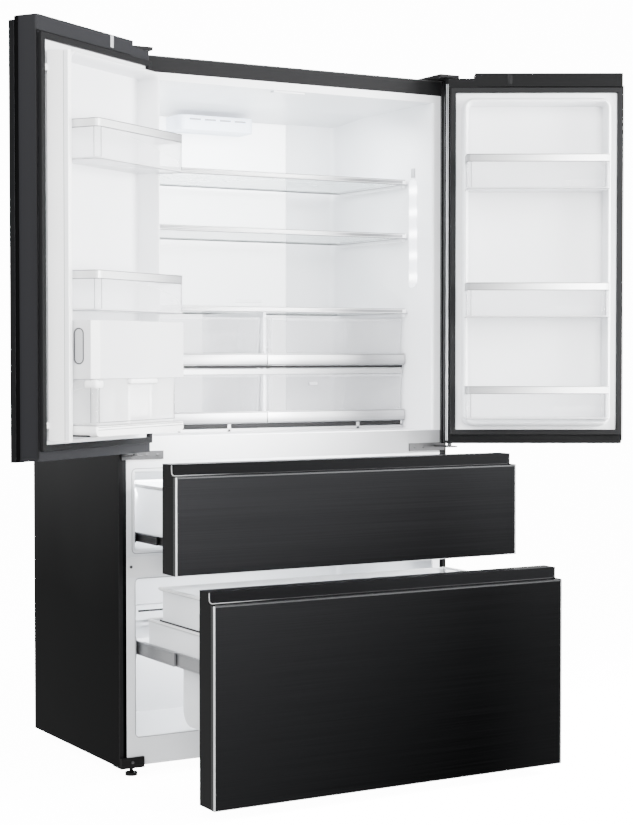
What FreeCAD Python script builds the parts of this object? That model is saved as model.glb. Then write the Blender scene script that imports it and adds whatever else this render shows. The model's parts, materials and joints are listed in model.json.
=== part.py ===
import FreeCAD, Part
import math
import os
import re

# A four-door French-door refrigerator over two freezer drawers, in millimetres.
# X runs to the right, Y to the back and Z up; the origin is on the floor under the middle of the cabinet.
# It stands with both doors open and both drawers pulled out.

CABINET = {
    "shell_width": 1005,
    "shell_height": 1822,
    "shell_depth": 587,
    "ground_gap": 25,
    "sheet_wall": 1.5,
    "side_fold": 21,
    "top_fold": 42,
    "liner_wall": 2.5,
    "rim_depth": 10,
    "rim_round": 8,
    "corner_round": 18,
    "side_insulation": 48,
    "top_insulation": 62,
    "rear_insulation": 42,
    "foam_fit": 0.2,
    "bar_depth": 60,
    "bar_wall": 2,
    "middle_bar_drop": 10,
    "middle_bar_rise": 37,
    "lower_bar_drop": 20,
    "lower_bar_rise": 14,
    "floor_rise": 2.5,
    "cavity_floor_rise": 19,
    "cavity_ceiling_drop": 29,
    "lower_ceiling_drop": 8,
    "base_insulation": 77,
    "lower_rear_insulation": 87,
    "apron_gap": 8,
    "hump_height": 203,
    "hump_depth": 297,
    "bay_depth": 230,
    "bay_height": 230,
}
FRONTS = {
    "seal_gap": 12,
    "door_body_depth": 60,
    "panel_depth": 15,
    "panel_wall": 1.2,
    "panel_edge": 1,
    "front_start": 3,
    "lower_panel_height": 476,
    "upper_panel_height": 238,
    "cap_rise": 30,
    "cap_inset": 1,
    "grip_width": 13,
    "grip_drop": 25,
    "front_gap": 17,
    "door_start_gap": 15,
    "door_rise": 7,
    "door_middle_gap": 4,
    "panel_overhang": 4.5,
    "panel_top_drop": 7.5,
    "body_side_inset": 6,
    "body_end_inset": 4,
    "body_top_rise": 2.5,
    "body_round": 7,
    "hinge_side_round": 14,
    "panel_side_gap": 0.5,
    "notch_width": 89,
    "notch_gap": 5,
    "edge_grip_depth": 9,
    "edge_grip_low": 68,
    "edge_grip_top": 83,
    "gasket_width": 15,
    "gasket_side": 21,
    "gasket_free_inset": 3,
    "gasket_top_lap": 31,
    "gasket_low_lap": 10,
    "gasket_clearance": 0.3,
    "drawer_gasket_lap": 16,
}
HINGES = {
    "hinge_inset": 23,
    "hinge_reach": 51.5,
    "left_open_angle": 146.7,
    "right_open_angle": 149.2,
    "pin_radius": 6,
    "pin_clearance": 0.06,
    "pin_reach": 26,
    "plate_wall": 4,
    "plate_side": 16,
    "top_plate_width": 54,
    "top_plate_length": 70,
    "cover_width": 64,
    "cover_length": 88,
    "cover_height": 8,
    "cover_wall": 2,
    "cover_side": 4,
    "cover_round": 3,
    "bracket_width": 118,
    "bracket_height": 22,
    "bracket_drop": 5,
    "arm_width": 34,
    "screw_radius": 4,
    "screw_height": 1.6,
    "bar_screw_side": 34,
}
DOOR_LINERS = {
    "dyke_side": 52,
    "dyke_wall": 6,
    "dyke_reach": 49,
    "dyke_end": 14,
    "dyke_round": 14,
    "pan_floor": 3,
    "pan_depth": 18,
    "liner_flange": 3,
    "flange_side": 37,
    "mullion_zone": 26,
    "right_dyke_inset": 10,
    "right_bin_inset": 10,
    "bin_depth": 144,
    "bin_wall": 3,
    "bin_round": 14,
    "bin_height": 94,
    "low_bin_height": 90,
    "upper_bin_share": 0.6804,
    "middle_bin_rise": 349,
    "low_bin_rise": 74,
    "module_depth": 139,
    "module_rise": 193,
    "module_height": 135,
    "module_chamfer": 12,
    "module_grip_width": 26,
    "module_grip_height": 83,
    "module_grip_deep": 6,
    "module_grip_back": 34,
    "module_grip_rise": 75.5,
    "tank_wall": 3,
    "tank_side": 84,
    "tank_height": 108,
    "tank_inset": 3,
    "tank_back_gap": 6,
    "tray_height": 24,
    "tray_round": 16,
    "tank_cap_width": 118,
    "tank_cap_height": 12,
    "tank_cap_depth": 14,
    "tank_cap_side": 190,
    "fit_gap": 0.3,
}
MULLION = {
    "mullion_wall": 14,
    "mullion_width": 60,
    "mullion_end_gap": 10,
    "mullion_round": 3,
    "mullion_turn_gap": 3.5,
    "mullion_turn_reach": 4.5,
    "knuckle_radius": 3,
    "knuckle_height": 14,
    "knuckle_inset": 30,
    "knuckle_pin": 1.5,
    "knuckle_wall": 4,
    "guide_width": 95,
    "guide_shift": 3,
    "guide_front": 10,
    "guide_depth": 20,
    "guide_height": 5,
}
INTERIOR = {
    "shelf_gap": 5.5,
    "shelf_front": 122,
    "shelf_rear_gap": 18,
    "shelf_bar": 15,
    "shelf_bar_height": 14,
    "shelf_side_bar": 9,
    "shelf_bar_round": 4,
    "glass_wall": 4,
    "low_shelf_rise": 333,
    "middle_shelf_share": 0.369,
    "upper_shelf_share": 0.6335,
    "rib_reach": 11,
    "rib_height": 8,
    "rib_front": 18,
    "rib_back": 20,
    "duct_width": 560,
    "duct_depth": 25,
    "duct_round": 10,
    "duct_wall": 3,
    "vent_width": 90,
    "vent_height": 10,
    "vent_side": 150,
    "module_box_width": 240,
    "module_box_depth": 95,
    "module_box_height": 42,
    "module_box_drop": 20,
    "module_box_slope": 10,
    "lamp_width": 36,
    "lamp_reach": 4,
    "lamp_back": 77,
    "lamp_drop": 206.5,
    "lamp_height": 306,
    "frame_front": 140,
    "frame_plate": 10,
    "frame_lift": 12,
    "foot_width": 22,
    "foot_depth": 40,
    "tier_rise": 158,
    "partition_wall": 8,
    "runner_width": 14,
    "crisper_side": 55,
    "crisper_middle": 14,
    "crisper_front": 128,
    "crisper_rear_gap": 52,
    "crisper_wall": 2.5,
    "crisper_round": 10,
    "crisper_bar": 14,
    "crisper_bar_height": 32,
    "upper_crisper_height": 130,
    "chill_height": 132,
    "crisper_lift": 12,
    "slider_width": 26,
    "slider_height": 9,
    "slider_depth": 5,
    "slider_drop": 30,
    "slider_side": 150,
    "slider_track": 2,
    "slider_travel": 10,
}
FREEZER = {
    "upper_pull": 246,
    "lower_pull": 445,
    "rail_wall": 5.7,
    "rail_rear_gap": 68,
    "rail_front": 12,
    "upper_rail_height": 22,
    "lower_rail_height": 35,
    "upper_rail_rise": 19,
    "lower_rail_drop": 194,
    "basket_gap": 0.3,
    "basket_wall": 3,
    "basket_round": 12,
    "upper_basket_gap": 90,
    "upper_basket_rise": 31,
    "upper_basket_height": 134,
    "lower_basket_gap": 92,
    "deep_basket_gap": 52,
    "lower_basket_rise": 64,
    "lower_frame_height": 98,
    "deep_side": 14,
    "deep_slope": 40,
    "tray_rear_gap": 63,
    "tray_side": 75,
    "inner_tray_height": 86,
    "tray_lift": 0.3,
    "tray_step": 12,
    "freezer_cover_back": 52,
    "freezer_cover_wall": 3,
    "freezer_cover_gap": 3,
    "fan_inset": 84.5,
    "fan_radius": 56,
    "fan_gap": 4,
    "fan_hub": 18,
    "fan_depth": 16,
    "fan_pin": 3,
    "fan_spoke": 7,
    "blade_wall": 3,
    "blade_count": 5,
    "coil_side": 34,
    "coil_fan_gap": 44.5,
    "coil_height": 120,
    "coil_depth": 38,
    "coil_tube": 5,
    "coil_lift": 30,
}
MACHINE = {
    "compressor_radius": 75,
    "compressor_height": 150,
    "compressor_dome": 30,
    "compressor_side": 200,
    "compressor_back": 115,
    "compressor_foot": 12,
    "foot_plate": 180,
    "pipe_radius": 4,
    "pipe_length": 40,
    "rear_vent_width": 60,
    "rear_vent_height": 6,
    "rear_vent_pitch": 90,
    "rear_vent_rise": 14,
    "rear_vent_count": 9,
    "rear_vent_rows": 5,
    "rear_vent_start": 60,
    "foot_bracket_width": 67,
    "foot_bracket_height": 25,
    "foot_bracket_wall": 8,
    "foot_bracket_length": 45,
    "levelling_radius": 16,
    "levelling_pad": 9,
    "levelling_stem": 5,
    "levelling_side": 40,
    "levelling_back": 16,
    "roller_radius": 18,
    "roller_width": 24,
    "roller_side": 72,
    "roller_back": 60,
    "axle_radius": 4,
    "axle_clearance": 0.06,
    "ear_wall": 3,
    "ear_gap": 1,
    "ear_width": 28,
    "ear_drop": 17,
    "wheel_gap": 3,
}
CUT = {"overrun": 5, "pick_margin": 1}
SIZES = {**CABINET, **FRONTS, **HINGES, **DOOR_LINERS, **MULLION, **INTERIOR, **FREEZER, **MACHINE, **CUT}

doc = FreeCAD.newDocument("refrigerator")
sheet = doc.addObject("Spreadsheet::Sheet", "Sizes")
for row, (word, number) in enumerate(SIZES.items(), start=1):
    sheet.set(f"A{row}", word)
    sheet.set(f"B{row}", str(number))
    sheet.setAlias(f"B{row}", word)
doc.recompute()


def size(word):
    """A named size, read back from the sheet."""
    return float(sheet.get(word))


def bound(text):
    """A sum in named sizes, as an expression on the sheet."""
    return re.sub(r"[a-z_]+", lambda word: f"Sizes.{word[0]}" if word[0] in SIZES else word[0], text)


def bind(piece, **sums):
    for name, text in sums.items():
        piece.setExpression(name, bound(text))
    return piece


def put(piece, x, y, z):
    """Ties a piece's place to three sums."""
    for letter, text in zip("xyz", (x, y, z)):
        piece.setExpression(f"Placement.Base.{letter}", bound(text))
    return piece


def box(x, y, z):
    """A block between the low and high sums of each axis."""
    piece = doc.addObject("Part::Box", "block")
    bind(piece, Length=f"({x[1]}) - ({x[0]})", Width=f"({y[1]}) - ({y[0]})", Height=f"({z[1]}) - ({z[0]})")
    return put(piece, x[0], y[0], z[0])


TURNS = {
    "z": FreeCAD.Rotation(),
    "y": FreeCAD.Rotation(FreeCAD.Vector(1, 0, 0), -90),
    "x": FreeCAD.Rotation(FreeCAD.Vector(0, 1, 0), 90),
}


def rod(axis, radius, length, x, y, z):
    """A cylinder that starts at a point and runs along an axis."""
    piece = doc.addObject("Part::Cylinder", "rod")
    piece.Placement = FreeCAD.Placement(FreeCAD.Vector(), TURNS[axis])
    bind(piece, Radius=radius, Height=length)
    return put(piece, x, y, z)


def join(*pieces):
    fuse = doc.addObject("Part::MultiFuse", "joined")
    fuse.Shapes = list(pieces)
    return fuse


def cut(base, *tools):
    piece = doc.addObject("Part::Cut", "cut")
    piece.Base = base
    piece.Tool = tools[0] if len(tools) == 1 else join(*tools)
    return piece


def group(*pieces):
    """Separate solids that are kept together as one part."""
    piece = doc.addObject("Part::Compound", "group")
    piece.Links = list(pieces)
    return piece


def lies_along(axis):
    def test(edge):
        first, last = edge.Vertexes[0].Point, edge.Vertexes[-1].Point
        run = last - first
        return run.Length > 0 and abs(getattr(run, axis)) > 0.999 * run.Length
    return test


def in_plane(block, axis, end):
    """Tells the edges that lie in a block's Min or Max plane on one axis."""
    def test(edge):
        plane = getattr(block.Shape.BoundBox, f"{axis.upper()}{end}")
        return abs(getattr(edge.CenterOfMass, axis) - plane) < size("pick_margin")
    return test


def rounded(base, radius, pick, name="Part::Fillet"):
    """Rounds or bevels the edges that pick chooses."""
    doc.recompute()
    amount = size(radius)
    piece = doc.addObject(name, "edges")
    piece.Base = base
    piece.Edges = [(i, amount, amount) for i, edge in enumerate(base.Shape.Edges, start=1) if pick(edge)]
    return piece


# Planes that many pieces share

left_side = "(-shell_width / 2)"
front = "(-shell_depth / 2)"
back = "(shell_depth / 2)"
base = "ground_gap"
top = "(ground_gap + shell_height)"
door_back = f"({front} - seal_gap)"
panel_back = f"({door_back} - door_body_depth)"
panel_face = f"({panel_back} - panel_depth)"

lower_panel_low = f"({base} + front_start)"
lower_panel_top = f"({lower_panel_low} + lower_panel_height)"
lower_cap_top = f"({lower_panel_top} + cap_rise)"
upper_panel_low = f"({lower_cap_top} + front_gap)"
upper_panel_top = f"({upper_panel_low} + upper_panel_height)"
upper_cap_top = f"({upper_panel_top} + cap_rise)"
door_low = f"({upper_cap_top} + door_start_gap)"
door_top = f"({top} + door_rise)"
panel_top = f"({door_top} - panel_top_drop)"
body_top = f"({door_top} + body_top_rise)"

lower_bar_low = f"({lower_cap_top} - lower_bar_drop)"
lower_bar_top = f"({upper_panel_low} + lower_bar_rise)"
middle_bar_low = f"({upper_cap_top} - middle_bar_drop)"
middle_bar_top = f"({door_low} + middle_bar_rise)"

wall_side = "side_insulation"
inner_back = f"({back} - rear_insulation)"
fridge_floor = f"({middle_bar_top} + floor_rise)"
fridge_ceiling = f"({top} - top_insulation)"
upper_floor = f"({lower_bar_top} + cavity_floor_rise)"
upper_ceiling = f"({middle_bar_low} - cavity_ceiling_drop)"
lower_floor = f"({base} + base_insulation)"
lower_ceiling = f"({lower_bar_low} - lower_ceiling_drop)"
lower_back = f"({back} - lower_rear_insulation)"
hump_front = f"({back} - hump_depth)"
hump_top = f"({lower_floor} + hump_height)"
bay_front = f"({back} - bay_depth)"
bay_top = f"({base} + bay_height)"
shell_inside = "(shell_width / 2 - sheet_wall)"
opening_inside = "(shell_width / 2 - side_fold)"
cavity_inside = f"(shell_width / 2 - {wall_side})"
hinge_line = f"({front} - hinge_reach)"


def both(half):
    """A span that is even about the middle of the cabinet."""
    return (f"-({half})", half)


def across(side, low, high):
    """A span measured from one side of the cabinet towards its middle."""
    if side == "left":
        return (f"{left_side} + ({low})", f"{left_side} + ({high})")
    return (f"-({left_side}) - ({high})", f"-({left_side}) - ({low})")


def from_side(side, distance):
    return f"{left_side} + ({distance})" if side == "left" else f"-({left_side}) - ({distance})"


def around(span, amount):
    """A span made longer at both ends."""
    return (f"{span[0]} - ({amount})", f"{span[1]} + ({amount})")


def swing(piece, side):
    """Stands a closed door open about its hinge line."""
    turn = "right_open_angle" if side == "right" else "-(left_open_angle)"
    spin = f"({turn} * 1 deg)"
    at = from_side(side, "hinge_inset")
    piece.setExpression("Placement.Rotation.Angle", bound(turn))
    return put(
        piece,
        f"{at} - (({at}) * cos{spin} - {hinge_line} * sin{spin})",
        f"{hinge_line} - (({at}) * sin{spin} + {hinge_line} * cos{spin})",
        "0",
    )


def pull(piece, distance):
    """Draws a closed drawer part out by a distance."""
    piece.setExpression("Placement.Base.y", bound(f"-({distance})"))
    return piece


PARTS = {}


def keep(name, piece):
    piece.Label = name
    PARTS[name] = piece


# The cabinet's steel shell, folded in round its front

def outer_shell():
    whole = box(both("shell_width / 2"), (front, back), (base, top))
    hollow = box(
        both(shell_inside),
        (f"{front} + sheet_wall", f"{back} + overrun"),
        (f"{base} - overrun", f"{top} - sheet_wall"),
    )
    mouth = box(
        both(opening_inside),
        (f"{front} - overrun", f"{front} + sheet_wall + overrun"),
        (f"{base} - overrun", f"{top} - top_fold"),
    )
    return cut(whole, hollow, mouth)


def back_panel():
    return box(both(shell_inside), (f"{back} - sheet_wall", back), (bay_top, f"{top} - sheet_wall"))


def roller_place(side):
    return from_side(side, "roller_side"), f"({back} - roller_back)"


def base_plate():
    floor_sheet = box(
        both(shell_inside), (f"{front} + rim_depth", f"{back} - sheet_wall"), (base, f"{base} + sheet_wall")
    )
    bay_wall = box(both(shell_inside), (f"{bay_front} - sheet_wall", bay_front), (base, bay_top))
    bay_roof = box(
        both(shell_inside), (f"{bay_front} - sheet_wall", back), (f"{bay_top} - sheet_wall", bay_top)
    )
    ears = []
    slots = []
    for side in ("left", "right"):
        x, y = roller_place(side)
        half = "(roller_width / 2 + ear_gap)"
        for low, high in ((f"-{half} - ear_wall", f"-{half}"), (half, f"{half} + ear_wall")):
            ears.append(
                box(
                    (f"{x} + {low}", f"{x} + {high}"),
                    (f"{y} - ear_width / 2", f"{y} + ear_width / 2"),
                    (f"{base} - ear_drop", f"{base} + sheet_wall"),
                )
            )
        slots.append(
            rod("x", "axle_radius + axle_clearance", "roller_width + 4 * ear_wall + 4 * ear_gap",
                f"{x} - roller_width / 2 - 2 * ear_wall - 2 * ear_gap", y, "roller_radius")
        )
        slots.append(
            box(
                (f"{x} - {half}", f"{x} + {half}"),
                (f"{y} - roller_radius - wheel_gap", f"{y} + roller_radius + wheel_gap"),
                (f"{base} - overrun", f"{base} + overrun"),
            )
        )
    return cut(join(floor_sheet, bay_wall, bay_roof, *ears), *slots)


# The white plastic tubs

def tub(floor, ceiling, rear, growth="0"):
    """The block that a tub encloses, or with growth the block that it fills."""
    return box(
        both(f"{cavity_inside} + {growth}"), (f"{front} - overrun", f"{rear} + {growth}"),
        (f"{floor} - {growth}", f"{ceiling} + {growth}"),
    )


def tub_shell(floor, ceiling, rear):
    """The outside of a tub, from the cabinet's front plane to its back."""
    return box(
        both(f"{cavity_inside} + liner_wall"), (front, f"{rear} + liner_wall"),
        (f"{floor} - liner_wall", f"{ceiling} + liner_wall"),
    )


def rim(low, high):
    return box(both(opening_inside), (front, f"{front} + rim_depth"), (low, high))


def at_mouth(edge):
    """Tells the edges of a tub's mouth, which lie in the front plane inside the rim."""
    plane = -size("shell_depth") / 2
    half = size("shell_width") / 2 - size("side_insulation")
    return (
        abs(edge.BoundBox.YMin - plane) < 0.01
        and abs(edge.BoundBox.YMax - plane) < 0.01
        and edge.BoundBox.XMax < half + 0.01
        and edge.BoundBox.XMin > -half - 0.01
    )


def hollow_block(floor, ceiling, rear):
    """A tub's inside with its rear corners rounded."""
    block = tub(floor, ceiling, rear)
    deepest = block
    return rounded(deepest, "corner_round", lambda edge: edge.CenterOfMass.y > 0)


low_shelf = f"({fridge_floor} + low_shelf_rise)"
SHELF_LEVELS = {
    "upper": f"({low_shelf} + upper_shelf_share * ({fridge_ceiling} - {low_shelf}))",
    "middle": f"({low_shelf} + middle_shelf_share * ({fridge_ceiling} - {low_shelf}))",
    "low": low_shelf,
}
shelf_front = f"({front} + shelf_front)"
shelf_back = f"({inner_back} - duct_depth - shelf_rear_gap)"


def shelf_ribs():
    ribs = []
    for level in SHELF_LEVELS.values():
        for side in ("left", "right"):
            ribs.append(
                box(
                    across(side, f"{wall_side} - liner_wall / 2", f"{wall_side} + rib_reach"),
                    (f"{shelf_front} + rib_front", f"{shelf_back} - rib_back"),
                    (f"{level} - shelf_bar_height / 2 - rib_height", f"{level} - shelf_bar_height / 2"),
                )
            )
    return ribs


def fridge_liner():
    outside = join(
        tub_shell(fridge_floor, fridge_ceiling, inner_back), rim(middle_bar_top, f"{top} - top_fold")
    )
    shell = rounded(
        cut(outside, hollow_block(fridge_floor, fridge_ceiling, inner_back)), "rim_round",
        lambda edge: at_mouth(edge) and not lies_along("x")(edge),
    )
    guide = box(
        ("guide_shift - guide_width / 2", "guide_shift + guide_width / 2"),
        (f"{front} + guide_front", f"{front} + guide_front + guide_depth"),
        (f"{fridge_ceiling} - guide_height", f"{fridge_ceiling} + liner_wall / 2"),
    )
    return join(shell, guide, *shelf_ribs())


def upper_freezer_liner():
    outside = join(tub_shell(upper_floor, upper_ceiling, inner_back), rim(lower_bar_top, middle_bar_low))
    return rounded(
        cut(outside, hollow_block(upper_floor, upper_ceiling, inner_back)), "rim_round", at_mouth
    )


def lower_freezer_liner():
    outside = join(
        tub_shell(hump_top, lower_ceiling, lower_back),
        tub_shell(lower_floor, f"{hump_top} + liner_wall", hump_front),
        rim(f"{base} + apron_gap", lower_bar_low),
    )
    inside = join(
        hollow_block(hump_top, lower_ceiling, lower_back),
        tub(lower_floor, f"{hump_top} + corner_round + overrun", hump_front),
    )
    return cut(outside, inside)


BARS = ((middle_bar_low, middle_bar_top), (lower_bar_low, lower_bar_top))


def bar_core(low, high, growth="0"):
    """The room inside a bar, which is a channel that is open at the back."""
    return box(
        both(f"{opening_inside} - bar_wall - {growth}"),
        (f"{front} + bar_wall + {growth}", f"{front} + bar_depth + overrun"),
        (f"{low} + bar_wall + {growth}", f"{high} - bar_wall - {growth}"),
    )


def crossbars():
    return group(
        *[cut(box(both(opening_inside), (front, f"{front} + bar_depth"), bar), bar_core(*bar))
          for bar in BARS]
    )


def cabinet_insulation():
    """The foam that fills the cabinet between its shell and everything inside."""
    grow = "(liner_wall + foam_fit)"
    block = box(
        both(f"{shell_inside} - foam_fit"),
        (f"{front} + rim_depth + foam_fit", f"{back} - sheet_wall - foam_fit"),
        (f"{base} + sheet_wall + foam_fit", f"{top} - sheet_wall - foam_fit"),
    )
    tools = [
        tub(fridge_floor, fridge_ceiling, inner_back, grow),
        tub(upper_floor, upper_ceiling, inner_back, grow),
        tub(hump_top, lower_ceiling, lower_back, grow),
        tub(lower_floor, f"{hump_top} + corner_round", hump_front, grow),
        box(both("shell_width"), (f"{bay_front} - sheet_wall - foam_fit", f"{back} + overrun"),
            (f"{base} - overrun", f"{bay_top} + foam_fit")),
    ]
    for low, high in BARS:
        around_bar = box(both(f"{opening_inside} + foam_fit"), (front, f"{front} + bar_depth + foam_fit"),
                         (f"{low} - foam_fit", f"{high} + foam_fit"))
        tools.append(cut(around_bar, bar_core(low, high, "foam_fit")))
    return cut(block, *tools)


keep("outer_shell", outer_shell())
keep("back_panel", back_panel())
keep("base_plate", base_plate())
keep("cabinet_insulation", cabinet_insulation())
keep("fridge_liner", fridge_liner())
keep("upper_freezer_liner", upper_freezer_liner())
keep("lower_freezer_liner", lower_freezer_liner())
keep("crossbars", crossbars())


# Hinges: a plate with a pin on the roof, and a bracket with a pin on the middle bar

def top_hinge(side):
    plate = box(
        across(side, "hinge_inset - plate_side", "hinge_inset - plate_side + top_plate_width"),
        (f"{hinge_line} - plate_side", f"{front} + top_plate_length"), (top, f"{top} + plate_wall"),
    )
    pin = rod("z", "pin_radius", "pin_reach + plate_wall", from_side(side, "hinge_inset"), hinge_line,
              f"{top} - pin_reach")
    return join(plate, pin)


def top_hinge_cover(side):
    skin = rounded(
        box(
            across(side, "cover_side", "cover_side + cover_width"),
            (f"{hinge_line} - plate_side - cover_wall", f"{front} + cover_length"),
            (top, f"{top} + cover_height"),
        ),
        "cover_round", lies_along("z"),
    )
    room = box(
        across(side, "hinge_inset - plate_side", "hinge_inset - plate_side + top_plate_width"),
        (f"{hinge_line} - plate_side", f"{front} + top_plate_length"),
        (f"{top} - overrun", f"{top} + plate_wall"),
    )
    return cut(skin, room)


bracket_low = f"({middle_bar_low} + bracket_drop)"
arm_low = f"({door_low} - (door_start_gap + plate_wall) / 2)"


def middle_hinge(side):
    foot = box(
        across(side, "hinge_inset - plate_side", "hinge_inset - plate_side + bracket_width"),
        (f"{front} - plate_wall", front), (bracket_low, f"{bracket_low} + bracket_height"),
    )
    arm = box(
        across(side, "hinge_inset - plate_side", "hinge_inset - plate_side + arm_width"),
        (f"{hinge_line} - plate_side", front), (arm_low, f"{arm_low} + plate_wall"),
    )
    pin = rod("z", "pin_radius", "pin_reach", from_side(side, "hinge_inset"), hinge_line, arm_low)
    return join(foot, arm, pin)


def screw(axis, x, y, z):
    return rod(axis, "screw_radius", "screw_height", x, y, z)


def cabinet_screws():
    heads = []
    face = f"{front} - screw_height"
    for side in ("left", "right"):
        heads.append(
            screw("y", from_side(side, "bar_screw_side"), face, f"({lower_bar_low} + {lower_bar_top}) / 2")
        )
        bracket_face = f"{front} - plate_wall - screw_height"
        for share in ("0.6", "0.85"):
            heads.append(
                screw("y", from_side(side, f"hinge_inset - plate_side + {share} * bracket_width"), bracket_face,
                      f"{bracket_low} + bracket_height / 2")
            )
        heads.append(
            screw("y", from_side(side, "foot_bracket_width / 2"), f"{front} - foot_bracket_wall - screw_height",
                  f"{base} + foot_bracket_height / 2")
        )
    return group(*heads)


keep("top_hinges", group(top_hinge("left"), top_hinge("right")))
keep("top_hinge_covers", group(top_hinge_cover("left"), top_hinge_cover("right")))
keep("middle_hinges", group(middle_hinge("left"), middle_hinge("right")))
keep("cabinet_screws", cabinet_screws())


# The fridge compartment: air duct, lamps, shelves and the crispers' frame

def duct_span(inset="0"):
    return (f"{fridge_floor} + corner_round + {inset}", f"{fridge_ceiling} - corner_round - {inset}")


def air_duct_panel():
    panel = rounded(
        box(both("duct_width / 2"), (f"{inner_back} - duct_depth", inner_back), duct_span()),
        "duct_round",
        lambda edge: lies_along("z")(edge) and edge.CenterOfMass.y < size("shell_depth") / 2
        - size("rear_insulation") - size("duct_depth") / 2,
    )
    vents = []
    for level in SHELF_LEVELS.values():
        for sign in ("-1", "1"):
            middle = f"{sign} * vent_side"
            vents.append(
                box(
                    (f"{middle} - vent_width / 2", f"{middle} + vent_width / 2"),
                    (f"{inner_back} - duct_depth - overrun", f"{inner_back} - duct_depth / 2"),
                    (f"{level} + 3 * vent_height", f"{level} + 4 * vent_height"),
                )
            )
    room = box(
        both("duct_width / 2 - duct_wall"), (f"{inner_back} - duct_depth + duct_wall", f"{inner_back} + overrun"),
        duct_span("duct_wall"),
    )
    return cut(panel, room, *vents)


def air_module():
    face = f"({inner_back} - duct_depth)"
    block = box(
        both("module_box_width / 2"), (f"{face} - module_box_depth", face),
        (f"{fridge_ceiling} - module_box_drop - module_box_height", f"{fridge_ceiling} - module_box_drop"),
    )
    return rounded(
        block, "module_box_slope",
        lambda edge: not in_plane(block, "y", "Max")(edge) and not lies_along("y")(edge),
        "Part::Chamfer",
    )


def side_lamps():
    lamps = []
    for side in ("left", "right"):
        lamps.append(
            rounded(
                box(
                    across(side, wall_side, f"{wall_side} + lamp_reach"),
                    (f"{front} + lamp_back", f"{front} + lamp_back + lamp_width"),
                    (f"{fridge_ceiling} - lamp_drop - lamp_height", f"{fridge_ceiling} - lamp_drop"),
                ),
                "lamp_reach",
                lambda edge: lies_along("x")(edge),
            )
        )
    return group(*lamps)


shelf_half = f"({cavity_inside} - shelf_gap)"


def shelf_trim(level):
    low = f"{level} - shelf_bar_height / 2"
    high = f"{level} + shelf_bar_height / 2"
    front_bar = rounded(
        box(both(shelf_half), (shelf_front, f"{shelf_front} + shelf_bar"), (low, high)), "shelf_bar_round",
        lambda edge: lies_along("x")(edge) and edge.CenterOfMass.y < size("shelf_front") + size("shelf_bar") / 2
        - size("shell_depth") / 2,
    )
    rear_bar = box(both(shelf_half), (f"{shelf_back} - shelf_side_bar", shelf_back), (low, level))
    sides = [
        box(
            across(side, f"{wall_side} + shelf_gap", f"{wall_side} + shelf_gap + shelf_side_bar"),
            (f"{shelf_front} + shelf_bar / 2", shelf_back), (low, f"{level} - glass_wall"),
        )
        for side in ("left", "right")
    ]
    return join(front_bar, rear_bar, *sides)


def shelf_glass(level):
    return box(
        both(shelf_half), (f"{shelf_front} + shelf_bar", f"{shelf_back} - shelf_side_bar"),
        (f"{level} - glass_wall", level),
    )


frame_front = f"({front} + frame_front)"
frame_back = f"({inner_back} - duct_depth)"
frame_low = f"({fridge_floor} + frame_lift)"
frame_top = f"({frame_low} + frame_plate)"
tier_low = f"({fridge_floor} + tier_rise)"
tier_top = f"({tier_low} + frame_plate)"
low_trim = f"({SHELF_LEVELS['low']} - shelf_bar_height / 2)"


def crisper_frame():
    """Two decks, the upright between the bins, low feet and the runners that the upper bins rest on."""
    decks = [
        box(both(f"{cavity_inside} - crisper_round"), (frame_front, frame_back), (low, f"{low} + frame_plate"))
        for low in (frame_low, tier_low)
    ]
    upright = box(both("partition_wall / 2"), (f"{frame_front} + overrun", frame_back), (frame_low, low_trim))
    feet = []
    for place in ("-crisper_side * 2", "0", "crisper_side * 6"):
        feet.append(
            box(
                (f"{place} - foot_width / 2", f"{place} + foot_width / 2"),
                (f"{frame_front} + overrun", f"{frame_front} + overrun + foot_depth"), (fridge_floor, frame_low),
            )
        )
    runners = []
    for side in ("left", "right"):
        for low in ("crisper_side", "shell_width / 2 - crisper_middle - runner_width"):
            runners.append(
                box(
                    across(side, f"{low} + overrun", f"{low} + runner_width"),
                    (f"{frame_front} + overrun", frame_back), (tier_top, f"{tier_top} + crisper_lift"),
                )
            )
    return join(*decks, upright, *feet, *runners)


keep("air_duct_panel", air_duct_panel())
keep("air_module", air_module())
keep("side_lamps", side_lamps())
keep("shelf_trims", group(*[shelf_trim(level) for level in SHELF_LEVELS.values()]))
keep("shelf_glass", group(*[shelf_glass(level) for level in SHELF_LEVELS.values()]))
keep("crisper_frame", crisper_frame())


def open_bin(x, y, z, wall, radius):
    """A tray that is open at the top, with rounded upright corners."""
    outside = rounded(box(x, y, z), radius, lies_along("z"))
    inside = box(
        (f"{x[0]} + {wall}", f"{x[1]} - {wall}"), (f"{y[0]} + {wall}", f"{y[1]} - {wall}"),
        (f"{z[0]} + {wall}", f"{z[1]} + overrun"),
    )
    return cut(outside, inside)


crisper_face = f"({front} + crisper_front)"
TIERS = {"crisper": (f"({tier_top} + crisper_lift + fit_gap)", "upper_crisper_height"),
         "chill_drawer": (f"({frame_top} + fit_gap)", "chill_height")}


def slider_place(low):
    bottom = f"{low} + chill_height - slider_drop"
    return bottom, f"{bottom} + slider_height"


def slider_track(low):
    """Two small ledges on the bin's front that the slider runs between."""
    bottom, top_edge = slider_place(low)
    half = "slider_width / 2 + slider_travel"
    y = (f"{crisper_face} + crisper_bar - slider_depth", f"{crisper_face} + crisper_bar + crisper_wall / 2")
    x = (f"slider_side - {half}", f"slider_side + {half}")
    return [
        box(x, y, (f"{bottom} - fit_gap - slider_track", f"{bottom} - fit_gap")),
        box(x, y, (f"{top_edge} + fit_gap", f"{top_edge} + fit_gap + slider_track")),
    ]


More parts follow.
